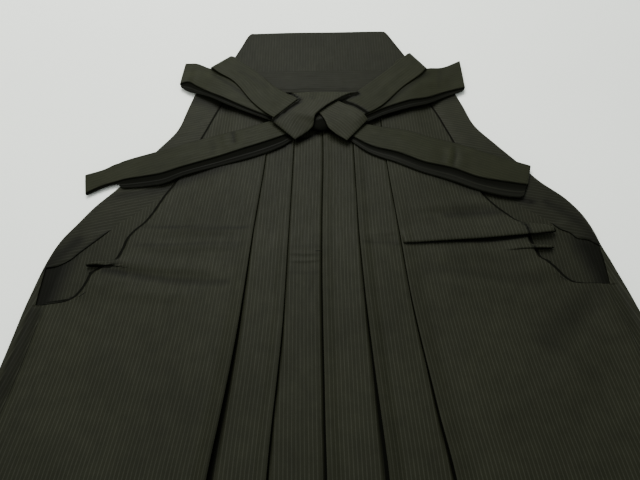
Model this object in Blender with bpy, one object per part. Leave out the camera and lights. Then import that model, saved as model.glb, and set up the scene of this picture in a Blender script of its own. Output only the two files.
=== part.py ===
# Hakama trousers laid flat on their back, waist toward +Y, ties folded and knotted in front.
# Sizes are in millimetres until a mesh is made. The floor is z = 0.
import bpy
import bmesh
from math import cos, sin, pi
from types import SimpleNamespace
from mathutils import Vector

HEM_Y = -495.0
BOARD_TOP_Y = 495.0
WAIST_Y = 376.0            # top of the front cloth, inside the waist band
WALL = 1.1                 # cloth with its seam allowances and press
PITCH = 2.0                # rise from one lying layer to the next
SEAM = 0.3                 # parting between sewn pieces
TURN = 1.0                 # radius of a fold's centre line
SIDE_STRIP = 20.0          # back cloth that comes round to the front at each side
SIDE_PUFF = 2.6            # how far that rounded fold stands up
CROTCH_Y = 104.0
GUSSET_TOP, GUSSET_HEM = 16.0, 84.0
SLIT_BOTTOM = {"left": 51.5, "right": 65.5}
EDGE_LIFT = 2.4            # the free slit edge stands off the back cloth

CLOTH = (0.034, 0.037, 0.027)
TIE_CLOTH = (0.038, 0.040, 0.028)
GUSSET_CLOTH = (0.028, 0.031, 0.023)


class Table:
    """Rows with named columns, read at any value of the first one along a smooth curve."""

    def __init__(self, columns, *rows):
        self.columns = columns.split()
        self.rows = sorted(rows)

    def read(self, name, at):
        k = self.columns.index(name)
        keys = [row[0] for row in self.rows]
        values = [row[k] for row in self.rows]
        if at <= keys[0]:
            return values[0]
        if at >= keys[-1]:
            return values[-1]
        i = max(n for n, key in enumerate(keys) if key <= at)
        slopes = [
            (values[n + 1] - values[n]) / (keys[n + 1] - keys[n])
            for n in range(len(keys) - 1)
        ]

        def tangent(n):
            if n == 0 or n == len(keys) - 1:
                return slopes[min(n, len(slopes) - 1)]
            before, after = slopes[n - 1], slopes[n]
            return 0.0 if before * after <= 0 else 2 * before * after / (before + after)

        span = keys[i + 1] - keys[i]
        t = (at - keys[i]) / span
        return (
            values[i] * (1 + 2 * t) * (1 - t) ** 2
            + values[i + 1] * t * t * (3 - 2 * t)
            + tangent(i) * span * t * (1 - t) ** 2
            - tangent(i + 1) * span * t * t * (1 - t)
        )


def rows(columns, *values):
    """A short list of sections, each with its values under the columns' names."""
    return [SimpleNamespace(**dict(zip(columns.split(), row))) for row in values]


# Outline of the back cloth on each side, and inside it the edge of its turned allowance.
BACK = Table(
    "y left right",
    (404.7, -141, 141), (385, -165, 168), (371, -175, 184), (340, -183, 195),
    (305, -191, 204), (265, -216, 230), (239, -233, 249), (208, -254, 270),
    (179, -278, 297), (154, -294, 311), (133, -307, 317), (114, -314, 320),
    (93, -319, 325), (60, -324, 331), (20, -328, 338), (-17, -332, 343),
    (-120, -347, 356), (-300, -373, 378), (HEM_Y, -400, 400),
)
TURNED = Table(
    "y left right",
    (200, -188, 212), (168, -225, 240), (145, -254, 268), (121, -279, 304), (97, -311, 318),
)
# Free edge of the front cloth from the waist down to the bottom of the side slit.
FRONT = Table(
    "y left right",
    (WAIST_Y, -122, 136), (364, -126, 139), (342, -134.5, 147), (285, -157, 166),
    (223, -180, 186), (168, -204, 212), (140, -221, 238), (118, -231, 243),
    (97, -238, 247), (90, -256, 252), (75, -262, 262), (67, -266, 281), (60, -270, 306),
    (54, -283, 306), (51, -304, 306),
)
# The five front pleats: where each fold's edge lies. Every edge faces the middle.
PLEATS = Table(
    "y outer_left inner_left centre inner_right outer_right",
    (WAIST_Y, -68, -33, 3, 44, 80), (258, -72, -35, 2, 42, 82), (139, -83, -40, -1, 42, 88),
    (18, -93.5, -45.5, -2, 44.5, 98), (-90, -108, -54, -1, 51.5, 111),
    (-290, -128, -65, 0, 60, 130), (HEM_Y, -148, -75, 0, 70, 148),
)
# How far each fold's edge stands up, and how deep its hidden fold goes.
LIFTS = Table(
    "y outer_left inner_left centre inner_right outer_right depth",
    (260, 0, 0, 0, 0, 0, 19), (119, 1.0, 0.4, 0.5, 0.9, 0.9, 23), (-4, 3.0, 1.2, 1.0, 2.4, 1.8, 27),
    (-124, 5.0, 2.0, 1.6, 4.2, 3.0, 31), (HEM_Y, 6.5, 3.0, 2.4, 5.6, 4.4, 40),
)


def smooth(a, b, x):
    t = min(max((x - a) / (b - a), 0.0), 1.0)
    return t * t * (3 - 2 * t)


def lay(x, y):
    """Middle height of the lowest front layer, which rises over the folded gussets."""
    wide = GUSSET_TOP + (GUSSET_HEM - GUSSET_TOP) * (CROTCH_Y - y) / (CROTCH_Y - HEM_Y)
    over = 1 - smooth(wide + 24, wide + 84, abs(x - 6))
    return WALL / 2 + PITCH * (1 + 2 * over * (1 - smooth(CROTCH_Y + 6, CROTCH_Y + 46, y)))


def free_lift(side, y):
    """The slit edge stands up between the ties and the bottom of the slit."""
    bottom = SLIT_BOTTOM[side]
    return EDGE_LIFT * smooth(235, 150, y) * smooth(bottom, bottom + 30, y)


def pinch(side, x, y):
    """The raised fold that runs across the right leg below the tie's tail."""
    if side == "left":
        return 0.0
    crest = 127 + 0.083 * (x - 90)
    return 4.0 * (1 - smooth(0, 10, abs(y - crest))) * smooth(96, 116, x)


def front_edge(side, y):
    if y > SLIT_BOTTOM[side]:
        return FRONT.read(side, y)
    back = BACK.read(side, y)
    return back + SIDE_STRIP if side == "left" else back - SIDE_STRIP


class Section:
    """One cross-section of a panel: points of its middle line, as x and z."""

    def __init__(self, y):
        self.y = y
        self.points = []

    def add(self, x, layer, lift=0.0):
        self.points.append((x, lay(x, self.y) + layer * PITCH + lift))

    def pleat(self, out, edge, depth, lift):
        """A knife pleat whose edge faces the middle; out is +1 or -1, away from the middle."""
        shoulder = min(14.0, 0.55 * depth)
        rows = (
            (1, 0, 0), (depth - 1, 0, 0), (depth + TURN, 0.5, 0), (depth - 1, 1, 0),
            (shoulder, 1, 0.25), (TURN + 1, 1, 1),
            (0.6, 1.5, 1), (TURN + 1, 2, 1), (shoulder, 2, 0.25),
            (depth + 4, 2, 0), (depth + 13, 0, 0),
        )
        for away, layer, share in rows:
            self.add(edge + out * away, layer, lift * share)


def ring(points, wall=WALL):
    """The outline of a wall round a middle line: along one face and back along the other."""
    faces = ([], [])
    last = len(points) - 1
    for i, (x, z) in enumerate(points):
        before = Vector(points[i]) - Vector(points[max(i - 1, 0)])
        after = Vector(points[min(i + 1, last)]) - Vector(points[i])
        a = before.normalized() if before.length else after.normalized()
        b = after.normalized() if after.length else before.normalized()
        along = (a + b).normalized()
        reach = wall / 2 / max(along.dot(a), 0.72)
        faces[0].append((x - along.y * reach, z + along.x * reach))
        faces[1].append((x + along.y * reach, z - along.x * reach))
    return faces[0] + faces[1][::-1]


def front_half(side, stations):
    """Rings of one front half: its pleated sheet, folded, from the middle seam to the side."""
    rings = []
    for y in stations:
        s = Section(y)
        depth = LIFTS.read("depth", y)
        middle = PLEATS.read("centre", y)
        if side == "left":
            out = -1
            s.add(middle + 11, 0)
            names = ("inner_left", "outer_left")
        else:
            out = 1
            lift = LIFTS.read("centre", y)
            for away, layer, share in (
                (24, 0, 0), (19, 0, 0), (13, 1, 0), (TURN + 1, 1, 1), (0.6, 1.5, 1),
                (TURN + 1, 2, 1), (10, 2, 0.25), (24, 2, 0), (33, 0, 0),
            ):
                s.add(middle + away, layer, lift * share)
            names = ("inner_right", "outer_right")
        for name in names:
            s.pleat(out, PLEATS.read(name, y), depth, LIFTS.read(name, y))
        start = s.points[-1][0]
        end = front_edge(side, y) - out * (SEAM if y <= SLIT_BOTTOM[side] else 0)
        raised = free_lift(side, y)
        for share, up in ((0.35, 0), (0.62, 0), (0.86, 0.35), (1, 1)):
            x = start + (end - start) * share
            s.add(x, 0, raised * up + pinch(side, x, y))
        rings.append([(x, y, z) for x, z in ring(s.points)])
    return rings


def back_half(side, stations):
    """Rings of one back half: flat on the floor, turned over at the side edge."""
    out = -1 if side == "left" else 1
    floor = WALL / 2
    rings = []
    for y in stations:
        edge = BACK.read(side, y)
        bottom = SLIT_BOTTOM[side]
        if y <= bottom:
            wide = SIDE_STRIP
        elif y < 97:
            wide = 7
        else:
            visible = abs(edge) - abs(front_edge(side, y)) - 2
            wide = min(visible, abs(edge) - abs(TURNED.read(side, y))) if y < 200 else visible
            wide = max(wide, 7)
        inner = edge - out * wide
        puff = SIDE_PUFF * (1 - smooth(bottom - 28, bottom, y))
        points = [(out * SEAM / 2, floor), (edge * 0.45, floor), (edge - out * 9, floor)]
        points += [
            (edge - out * (TURN + WALL / 2 + 0.6), floor),
            (edge - out * WALL / 2, floor + PITCH / 2 + puff * 0.45),
            (edge - out * (TURN + WALL / 2 + 0.9), floor + PITCH + puff * 0.9),
            (edge - out * min(6.0, wide * 0.6), floor + PITCH + puff * 0.7),
            (edge - out * min(13.0, wide * 0.8), floor + PITCH + puff * 0.05),
            (inner, floor + PITCH),
        ]
        rings.append([(x, y, z) for x, z in ring(points)])
    return rings


def gusset(side, stations):
    """The folded gusset that joins front and back inside one leg, from the crotch to the hem."""
    out = -1 if side == "left" else 1
    low, high = WALL / 2 + PITCH, WALL / 2 + 2 * PITCH
    rings = []
    for y in stations:
        wide = GUSSET_TOP + (GUSSET_HEM - GUSSET_TOP) * (CROTCH_Y - y) / (CROTCH_Y - HEM_Y)
        middle = PLEATS.read("centre", y)
        fold = out * wide + (12 if side == "right" else 0)
        top = middle + (10 if side == "left" else 13)
        points = [
            (out * 1.5, low), (fold * 0.5, low), (fold - out * 1.5, low),
            (fold + out * 0.2, (low + high) / 2),
            (fold - out * 1.5, high), ((fold + top) / 2, high), (top, high),
        ]
        rings.append([(x, y, z) for x, z in ring(points)])
    return rings


def board():
    """Stiff back board: flat below, crowned a little, its upper corners rounded."""
    shape = rows(
        "y left right top",
        (405.0, -139.5, 139.5, 5.0), (409, -138.4, 138.2, 5.6), (440, -126, 125.4, 6.0),
        (468, -115.5, 113, 6.0), (484, -110, 106, 6.0), (490, -107, 103, 5.8),
        (493.3, -104.5, 100.5, 5.4), (BOARD_TOP_Y, -98, 94, 4.6),
    )
    rings = []
    for at in shape:
        side = 2.2 if at.y < 494 else 1.2
        profile = (
            (at.left + side, 0.0), (at.left, 1.8), (at.left + 0.3, at.top - 1.8),
            (at.left + side, at.top - 0.5), (at.left + 12, at.top), (at.right - 12, at.top),
            (at.right - side, at.top - 0.5), (at.right - 0.3, at.top - 1.8), (at.right, 1.8),
            (at.right - side, 0.0),
        )
        rings.append([(x, at.y, z) for x, z in profile])
    return rings


def waist_band():
    """The front band lies over the tops of the pleats, just below the board."""
    shape = rows(
        "x low high under",
        (-139, 365, 404.2, 4.6), (-122, 364.4, 404.2, 5.2), (-104, 363.8, 404.2, 7.5),
        (0, 361.5, 404.0, 7.5), (112, 358, 402.6, 7.5), (126, 357.5, 402.2, 5.2),
        (139, 357, 401.8, 4.6),
    )
    rings = []
    for at in shape:
        profile = (
            (at.low + 0.8, 0), (at.low, 0.9), (at.low + 0.2, 2.0), (at.low + 1.6, 2.8),
            (at.high - 1.6, 2.8), (at.high - 0.2, 2.0), (at.high, 0.9), (at.high - 0.8, 0),
        )
        rings.append([(at.x, y, at.under + z) for y, z in profile])
    return rings


FOLDED = "edge_x edge_y upper_x upper_y lower_x lower_y under"
RIBBON = "first_x first_y first_z second_x second_y second_z crown"


def folded_tie(sections, lower=1.8, upper=1.8):
    """A tie folded in layers: one solid, stepped along the side where the lower layer shows."""
    rings = []
    top = lower + upper
    for at in sections:
        a = Vector((at.edge_x, at.edge_y, 0))
        b = Vector((at.upper_x, at.upper_y, 0))
        c = Vector((at.lower_x, at.lower_y, 0))
        across = (b - a).normalized()
        profile = (
            (a + across * 0.7, 0.0), (a, 0.5), (a, lower - 0.2), (a + across * 0.8, lower),
            (a, lower + 0.3), (a, top - 0.6), (a + across * 1.0, top),
            (b - across * 1.0, top), (b, top - 0.6), (b, lower + 0.3),
            (b - across * 1.2, lower - 0.1), (c, lower - 0.3), (c, 0.5), (c - across * 0.7, 0.0),
        )
        rings.append([(p.x, p.y, at.under + up) for p, up in profile])
    return rings


def ribbon(sections, thick=2.0):
    """A flat band between two edges, each with its own height, crowned along its middle."""
    edges = [
        (Vector((at.first_x, at.first_y, at.first_z)), Vector((at.second_x, at.second_y, at.second_z)))
        for at in sections
    ]
    middles = [(p + q) / 2 for p, q in edges]
    last = len(sections) - 1
    rings = []
    for i, (p, q) in enumerate(edges):
        along = (middles[min(i + 1, last)] - middles[max(i - 1, 0)]).normalized()
        across = (q - p).normalized()
        up = across.cross(along).normalized()
        crown = middles[i] + up * sections[i].crown
        face = up * thick / 2
        rings.append([
            p + face * 0.6, p + across + face, crown + face, q - across + face, q + face * 0.6,
            q - face * 0.6, q - across - face, crown - face, p + across - face, p - face * 0.6,
        ])
    return rings


# The two long front ties: folded arms above the knot and tails below it.
ARM_LEFT = rows(
    FOLDED,
    (-196, 427, -199, 386, -197, 381, 3.9), (-184, 427, -189, 389, -187, 373, 4.1),
    (-161, 415, -173, 378, -173, 366, 5.9), (-140, 402, -154, 363, -151, 354, 9.3),
    (-120, 390, -134, 351, -131, 341, 10.7), (-78, 364, -98, 329, -95, 321, 11.3),
    (-48, 347, -66, 312, -64, 306, 12.0), (-22, 335, -36, 302, -35, 295, 12.0),
)
ARM_RIGHT = rows(
    FOLDED,
    (204, 423, 203, 369, 200, 364, 3.9), (176, 406, 172, 359, 172, 351, 4.7),
    (154, 400, 146, 346, 146, 336, 8.3), (128, 385, 120, 339, 117, 326, 10.7),
    (100, 368, 88, 326, 85, 314, 11.3), (72, 352, 60, 311, 58, 300, 12.0),
    (25, 338, 35, 301, 34, 294, 12.0),
)
TAIL_LEFT = rows(
    FOLDED,
    (-296, 226, -289, 199, -287, 196, 2.6), (-276, 234, -271, 210, -268, 205, 3.4),
    (-255, 246, -248, 218, -245, 206, 3.7), (-214, 261, -205, 226, -202, 210, 4.1),
    (-187, 270, -177, 236, -173, 223, 4.9), (-151, 282, -139, 249, -136, 235, 5.2),
    (-106, 294, -96, 264, -92, 247, 7.5), (-68, 308, -56, 280, -52, 265, 7.5),
    (-42, 316, -31, 292, -30, 283, 7.5),
)
TAIL_RIGHT = rows(
    FOLDED,
    (40, 308, 29, 290, 28, 283, 7.5), (60, 300, 44, 277, 42, 269, 7.5),
    (82, 294, 66, 262, 63, 251, 7.5), (111, 288, 98, 251, 94, 236, 7.5),
    (141, 276, 131, 235, 126, 220, 6.7), (174, 266, 162, 227, 159, 208, 5.2),
    (208, 251, 196, 211, 191, 193, 4.9), (246, 235, 233, 203, 224, 183, 4.1),
    (263, 228, 253, 199, 248, 191, 3.9),
)
# The two back ties, from the board's lower corners, folded back and led to the knot.
BACK_TIE_LEFT = rows(
    RIBBON,
    (-119, 407, 8.4, -101, 421, 8.4, 0), (-134, 409, 8.4, -114, 426, 8.4, 0),
    (-150, 412, 9.2, -125, 431, 9.2, 0), (-156, 413, 12.5, -129, 434, 12.5, 0),
    (-151, 409, 16.0, -122, 428, 16.0, 0), (-146, 402, 16.3, -113, 418, 16.3, 0),
    (-121, 379, 16.3, -89, 396, 16.3, 0.3), (-92, 337, 16.9, -59, 363, 16.9, 0.3),
    (-63, 311, 16.9, -31, 343, 16.9, 0.3),
)
BACK_TIE_RIGHT = rows(
    RIBBON,
    (101, 420, 8.4, 120, 406, 8.4, 0), (112, 426, 8.4, 132, 406, 8.4, 0),
    (125, 431, 9.2, 147, 405, 9.2, 0), (131, 434, 12.5, 152, 403, 12.5, 0),
    (125, 427, 16.0, 148, 397, 16.0, 0), (117, 418, 16.3, 143, 390, 16.3, 0),
    (91, 392, 16.3, 114, 362, 16.3, 0.3), (55, 358, 16.9, 80, 325, 16.9, 0.3),
    (27, 335.5, 16.9, 57, 310, 16.9, 0.3),
)
# The wraps of the knot. The left one passes over the right one.
WRAP_LEFT = rows(
    RIBBON,
    (-20, 352, 14.3, 47, 353, 14.3, 1.6), (-26, 347, 19.7, 40, 347, 19.9, 1.2),
    (-34, 338, 21.5, 24, 338, 22.7, 0.8), (-42, 331, 21.5, 6, 323, 22.9, 0.8),
    (-52, 323, 20.9, -6, 306, 22.1, 0.8), (-60, 315, 20.3, -9, 293, 17.0, 1.6),
    (-64, 308, 19.5, -22, 281, 14.1, 1.4), (-65, 303, 16.5, -34, 272, 13.7, 0.6),
)
WRAP_RIGHT = rows(
    RIBBON,
    (14, 344, 16.7, -10, 321, 17.6, 0), (26, 336, 19.3, -1, 311, 19.1, 0.4),
    (36, 327, 19.7, 5, 300, 18.9, 0.8), (48, 317, 19.7, 9, 289, 17.7, 1.0),
    (57, 309, 18.9, 19, 279, 15.3, 1.0), (62, 303, 15.5, 33, 269, 13.5, 0.4),
)


def knot_core():
    """Where the ties cross inside the knot, as one rounded body under the wraps."""
    shape = rows("radius z", (20, 7.5), (23, 9.3), (24, 12), (21, 15), (14, 16.4))
    angles = [k * pi / 8 for k in range(16)]
    return [
        [(at.radius * cos(t), 313 + at.radius * sin(t), at.z) for t in angles] for at in shape
    ]


def material(name, colour, roughness):
    made = bpy.data.materials.new(name)
    made.use_nodes = True
    shader = made.node_tree.nodes["Principled BSDF"]
    shader.inputs["Base Color"].default_value = (*colour, 1)
    shader.inputs["Roughness"].default_value = roughness
    shader.inputs["Metallic"].default_value = 0.0
    made.diffuse_color = (*colour, 1)
    return made


def solid(name, rings, colour, roughness=0.85):
    """Joins rings of equal count into one closed body; each end is closed across the wall."""
    bm = bmesh.new()
    loops = [[bm.verts.new([v / 1000 for v in p]) for p in r] for r in rings]
    for a, b in zip(loops, loops[1:]):
        for i in range(len(a)):
            j = (i + 1) % len(a)
            quad = (a[i], a[j], b[j], b[i])
            bm.faces.new(quad if i < len(a) // 2 else quad[1:] + quad[:1])
    for end in (loops[0], loops[-1]):
        for k in range(len(end) // 2 - 1):
            bm.faces.new((end[k], end[k + 1], end[-2 - k], end[-1 - k]))
    bmesh.ops.triangulate(bm, faces=bm.faces[:], quad_method="FIXED")
    bmesh.ops.recalc_face_normals(bm, faces=bm.faces[:])
    mesh = bpy.data.meshes.new(name)
    bm.to_mesh(mesh)
    bm.free()
    made = bpy.data.objects.new(name, mesh)
    mesh.materials.append(material(name + "_cloth", colour, roughness))
    bpy.context.scene.collection.objects.link(made)
    return made


FRONT_STATIONS = {
    "left": (
        WAIST_Y, 345, 300, 255, 223, 190, 168, 150, 140, 118, 104, 97, 90, 82, 75, 67, 60, 54,
        51.4, 30, -10, -60, -124, -200, -280, -360, -430, HEM_Y,
    ),
    "right": (
        WAIST_Y, 345, 300, 255, 223, 190, 168, 158, 152, 147, 142, 137, 132, 127, 122, 117, 111,
        104, 97, 88, 80, 74, 70, 67, 65.4, 45, 10, -40, -124, -200, -280, -360, -430, HEM_Y,
    ),
}
BACK_STATIONS = {
    "left": (
        404.7, 371, 340, 305, 265, 239, 208, 179, 154, 133, 114, 97, 80, 60, 51.6, 51.3, 30,
        -10, -60, -124, -200, -280, -360, -430, HEM_Y,
    ),
    "right": (
        404.7, 371, 340, 305, 265, 239, 208, 179, 154, 133, 114, 97, 84, 74, 65.7, 65.3, 45,
        10, -40, -124, -200, -280, -360, -430, HEM_Y,
    ),
}
GUSSET_STATIONS = (CROTCH_Y - 2, 60, 10, -60, -124, -200, -280, -360, -430, HEM_Y)

for old in list(bpy.data.objects):
    bpy.data.objects.remove(old, do_unlink=True)

for side in ("left", "right"):
    solid("front_" + side, front_half(side, FRONT_STATIONS[side]), CLOTH)
    solid("back_" + side, back_half(side, BACK_STATIONS[side]), CLOTH)
    solid("gusset_" + side, gusset(side, GUSSET_STATIONS), GUSSET_CLOTH)

solid("back_board", board(), CLOTH)
solid("waist_band", waist_band(), TIE_CLOTH)
solid("front_tie_arm_left", folded_tie(ARM_LEFT), TIE_CLOTH)
solid("front_tie_arm_right", folded_tie(ARM_RIGHT), TIE_CLOTH)
solid("front_tie_tail_left", folded_tie(TAIL_LEFT), TIE_CLOTH)
solid("front_tie_tail_right", folded_tie(TAIL_RIGHT), TIE_CLOTH)
solid("back_tie_left", ribbon(BACK_TIE_LEFT, 1.6), TIE_CLOTH)
solid("back_tie_right", ribbon(BACK_TIE_RIGHT, 1.6), TIE_CLOTH)
solid("knot_wrap_left", ribbon(WRAP_LEFT), TIE_CLOTH)
solid("knot_wrap_right", ribbon(WRAP_RIGHT), TIE_CLOTH)
solid("knot_core", knot_core(), TIE_CLOTH)
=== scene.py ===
import math

import bpy
import numpy as np
from mathutils import Matrix, Vector
from mathutils.bvhtree import BVHTree


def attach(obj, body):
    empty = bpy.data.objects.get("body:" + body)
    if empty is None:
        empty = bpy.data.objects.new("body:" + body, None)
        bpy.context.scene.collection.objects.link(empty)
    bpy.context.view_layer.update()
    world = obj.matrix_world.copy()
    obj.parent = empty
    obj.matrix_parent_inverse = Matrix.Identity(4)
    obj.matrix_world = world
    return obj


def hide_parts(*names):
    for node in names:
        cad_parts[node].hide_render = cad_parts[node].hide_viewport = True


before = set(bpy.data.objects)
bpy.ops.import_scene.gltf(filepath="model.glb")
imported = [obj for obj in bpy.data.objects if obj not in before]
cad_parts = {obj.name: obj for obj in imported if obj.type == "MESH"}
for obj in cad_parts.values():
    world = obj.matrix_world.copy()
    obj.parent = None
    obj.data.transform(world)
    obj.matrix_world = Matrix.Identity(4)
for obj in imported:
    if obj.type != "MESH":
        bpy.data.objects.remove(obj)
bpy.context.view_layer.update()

# Hakama trousers laid flat on their back, waist toward +Y, ties folded and knotted in front.
# Lengths are millimetres until a mesh is made. The floor is z = 0.
mm = 0.001
weaveMap = "weave"      # UV map in metres: u runs across the stripes, v along them
paintedShadeMark = "paintedShade"       # painted shade: 0 on the open cloth, 1 where shade is painted fully dark, below 0 a painted highlight

garment = {
    "waistY": 376.0,        # top of the front cloth, inside the band
    "hemY": -495.0,
    "wall": 1.1,            # cloth with its allowances and press
    "pitch": 2.0,           # rise from one lying layer to the next
    "seam": 0.3,            # parting between sewn pieces
    "sideStrip": 20.0,      # back cloth that comes round to the front
    "crotchY": 104.0,
    "gussetTop": 16.0,
    "gussetHem": 84.0,
    "slitBottom": {"left": 51.5, "right": 65.5},
}


def smooth(a, b, x):
    t = np.clip((x - a) / (b - a), 0.0, 1.0)
    return t * t * (3 - 2 * t)


class Table:
    # Rows with named columns, read at any value of the first one along a smooth curve.
    def __init__(self, columns, *rows):
        values = np.array(sorted(rows), float)
        self.keys = values[:, 0]
        self.columns = dict(zip(columns.split(), values.T))

    def read(self, name, at):
        keys, values = self.keys, self.columns[name]
        slopes = np.diff(values) / np.diff(keys)
        before, after = slopes[:-1], slopes[1:]
        total = np.where(before * after > 0, before + after, 1.0)
        inner = np.where(before * after > 0, 2 * before * after / total, 0.0)
        tangents = np.concatenate(([slopes[0]], inner, [slopes[-1]]))
        at = np.asarray(at, float)
        i = np.clip(np.searchsorted(keys, at, "right") - 1, 0, len(keys) - 2)
        span = keys[i + 1] - keys[i]
        t = np.clip((at - keys[i]) / span, 0, 1)
        return (
            values[i] * (1 + 2 * t) * (1 - t) ** 2
            + values[i + 1] * t * t * (3 - 2 * t)
            + tangents[i] * span * t * (1 - t) ** 2
            - tangents[i + 1] * span * t * t * (1 - t)
        )


def relief(creases, x, y, ends=(0.3, 0.28)):
    # Height of listed ridges (+) and troughs (-). Each runs along a path of points;
    # above and below are its half widths on the left and right of that direction.
    height = np.zeros(np.broadcast(x, y).shape)
    for rise, above, below, path in creases:
        points = np.array(path, float)
        steps = np.diff(points, axis=0)
        lengths = np.hypot(*steps.T)
        starts = np.concatenate(([0.0], np.cumsum(lengths)))
        nearest = np.full(height.shape, 1e9)
        side, along = np.zeros(height.shape), np.zeros(height.shape)
        for (px, py), (dx, dy), length, start in zip(points, steps / lengths[:, None], lengths, starts):
            t = np.clip((x - px) * dx + (y - py) * dy, 0, length)
            offX, offY = x - px - t * dx, y - py - t * dy
            far = np.hypot(offX, offY)
            closer = far < nearest
            nearest = np.where(closer, far, nearest)
            side = np.where(closer, dx * offY - dy * offX, side)
            along = np.where(closer, (start + t) / starts[-1], along)
        reach = np.where(side > 0, above, below)
        taper = smooth(0.0, ends[0], along) * smooth(1.0, 1 - ends[1], along)
        height += rise * taper * (1 - smooth(0.0, 1.0, nearest / reach))
    return height


def shaded(paintedShade, shades, x, y, share=1.0):
    # Adds listed bands of painted shade (+) and painted highlight (-) to the cloth's painted shade.
    band = share * relief(shades, x, y, (0.1, 0.1))
    return np.where(band > 0, np.maximum(paintedShade, np.minimum(band, 1.0)), paintedShade + band)


# Outline of the back cloth on each side, and inside it the edge of its turned allowance.
backOutline = Table(
    "y left right",
    (404.7, -141, 141), (385, -165, 168), (371, -175, 184), (340, -183, 195),
    (305, -191, 204), (265, -216, 230), (239, -233, 249), (208, -254, 270),
    (179, -278, 297), (154, -294, 311), (133, -307, 317), (114, -314, 320),
    (93, -319, 325), (60, -324, 331), (20, -328, 338), (-17, -332, 343),
    (-120, -347, 356), (-300, -373, 378), (-495, -400, 400),
)
turnedEdge = Table(
    "y left right",
    (200, -188, 212), (168, -225, 240), (147, -252.5, 270), (138, -261, 278), (132, -267, 289),
    (125, -274, 295), (122, -277, 308), (118, -281, 313), (114, -284.5, 317.5),
    (108, -290, 318), (101, -301, 318.5), (95, -316, 319),
)
# Free edge of the front cloth, from the band down to the slit's bottom.
slitEdge = Table(
    "y left right",
    (376, -122.5, 138.0), (342, -137.3, 149.2), (318, -145.8, 158.0), (298, -152.5, 164.0),
    (285, -157.3, 168.1), (223, -178.5, 184.5), (207, -184.9, 188.7), (200, -188.6, 190.5),
    (193, -192.0, 192.6), (186, -194.8, 195.3), (179, -197.6, 199.1), (171.5, -200.4, 204.4),
    (164.6, -203.7, 210.1), (157.5, -207.4, 216.7), (151.5, -211.9, 222.3), (146.5, -216.9, 228.9),
    (142, -220.4, 233.6), (137, -223.9, 235.8), (129.6, -226.9, 236.4), (122, -228.3, 237.3),
    (115, -230.2, 238.9), (107.5, -233.1, 240.3), (103, -236.5, 241.4), (99.5, -240.9, 242.7),
    (97, -245.9, 245.4), (94.5, -249.9, 248.8), (92, -253.5, 251.0), (89.9, -257.0, 252.9),
    (85, -260.1, 257.0), (79.5, -261.5, 261.0), (75, -263.0, 264.5), (70.7, -264.8, 269.0),
    (67.5, -266.6, 274.5), (66.3, -267.3, 283.0), (65.5, -267.9, 308.0), (61.5, -270.9, 308.0),
    (57.5, -276.4, 308.0), (54.9, -281.5, 308.0), (53.7, -287.0, 308.0), (52.8, -294.0, 308.0),
    (51.5, -304.0, 308.0),
)
# The five front pleats: their folds' edges, how far each stands up, and the parting between
# each fold and the panel that runs under it, which is painted dark as shade.
pleatEdges = Table(
    "y outerLeft innerLeft centre innerRight outerRight",
    (376, -68, -34, 3.4, 44, 80), (258, -72, -36.8, 2.8, 42.2, 82.4), (139, -82.5, -40.8, -0.6, 42.2, 89),
    (60, -88.6, -43.4, -1.7, 44.2, 93.3), (18, -92.2, -45.3, -1.7, 46.2, 97.2),
    (-35, -98.2, -49.3, -1.5, 49.2, 103.3), (-75, -103.4, -52.8, -1.4, 51.8, 108),
    (-115, -109, -55.7, -0.9, 54.2, 113.8), (-290, -127.5, -65, 0, 60, 130), (-495, -148, -75, 0, 70, 148),
)
pleatLifts = Table(
    "y outerLeft innerLeft centre innerRight outerRight depth",
    (260, 0, 0, 0, 0, 0, 19), (119, 1.0, 0.4, 0.5, 0.9, 0.9, 23), (-4, 3.0, 1.2, 1.0, 2.4, 1.8, 27),
    (-124, 5.0, 2.0, 1.6, 4.2, 3.0, 31), (-495, 6.5, 3.0, 2.4, 5.6, 4.4, 40),
)
pleatPartings = Table(
    "y outerLeft innerLeft centre innerRight outerRight",
    (376, 0.4, 0.4, 0.4, 0.4, 0.4), (260, 0.6, 0.6, 0.8, 0.5, 0.4), (190, 0.6, 0.5, 1.6, 0.5, 0.3),
    (119, 1.0, 0.7, 2.0, 0.9, 0.3), (60, 2.2, 1.2, 2.8, 1.8, 0.5), (-4, 4.4, 2.2, 3.6, 3.0, 1.0),
    (-64, 6.4, 2.8, 4.0, 5.2, 2.4), (-124, 8.2, 3.2, 5.2, 6.6, 3.8), (-495, 10.0, 5.0, 6.0, 8.5, 6.5),
)


def layHeight(x, y):
    # Middle height of the lowest front layer, which rises over the folded gussets.
    g = garment
    share = (g["crotchY"] - y) / (g["crotchY"] - g["hemY"])
    wide = g["gussetTop"] + (g["gussetHem"] - g["gussetTop"]) * share
    over = 1 - smooth(wide + 20, wide + 100, np.abs(x - 6))
    return g["wall"] / 2 + g["pitch"] * (1 + 2 * over * (1 - smooth(104, 158, y)))


class Cloth:
    # The middle surface of a cloth: columns of points that run down the garment.
    def __init__(self, y):
        self.y = np.asarray(y, float)
        self.columns = []

    def add(self, x, z, u, v=None, shows=1.0, paintedShade=0.0):
        v = self.y if v is None else v
        self.columns.append([np.broadcast_to(a, self.y.shape) for a in (x, z, u, v, shows, paintedShade)])

    def grid(self):
        x, z, u, v, shows, paintedShade = (np.stack(a, axis=1) for a in zip(*self.columns))
        y = np.broadcast_to(self.y[:, None], x.shape)
        return np.stack((x, y, z), axis=-1), np.stack((u, v), axis=-1), shows, paintedShade


def unit(v):
    return v / np.maximum(np.linalg.norm(v, axis=-1, keepdims=True), 1e-9)


def bisector(points, axis):
    steps = unit(np.diff(points, axis=axis))
    first, last = np.take(steps, [0], axis), np.take(steps, [-1], axis)
    return unit(np.concatenate((first, steps), axis) + np.concatenate((steps, last), axis))


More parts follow.
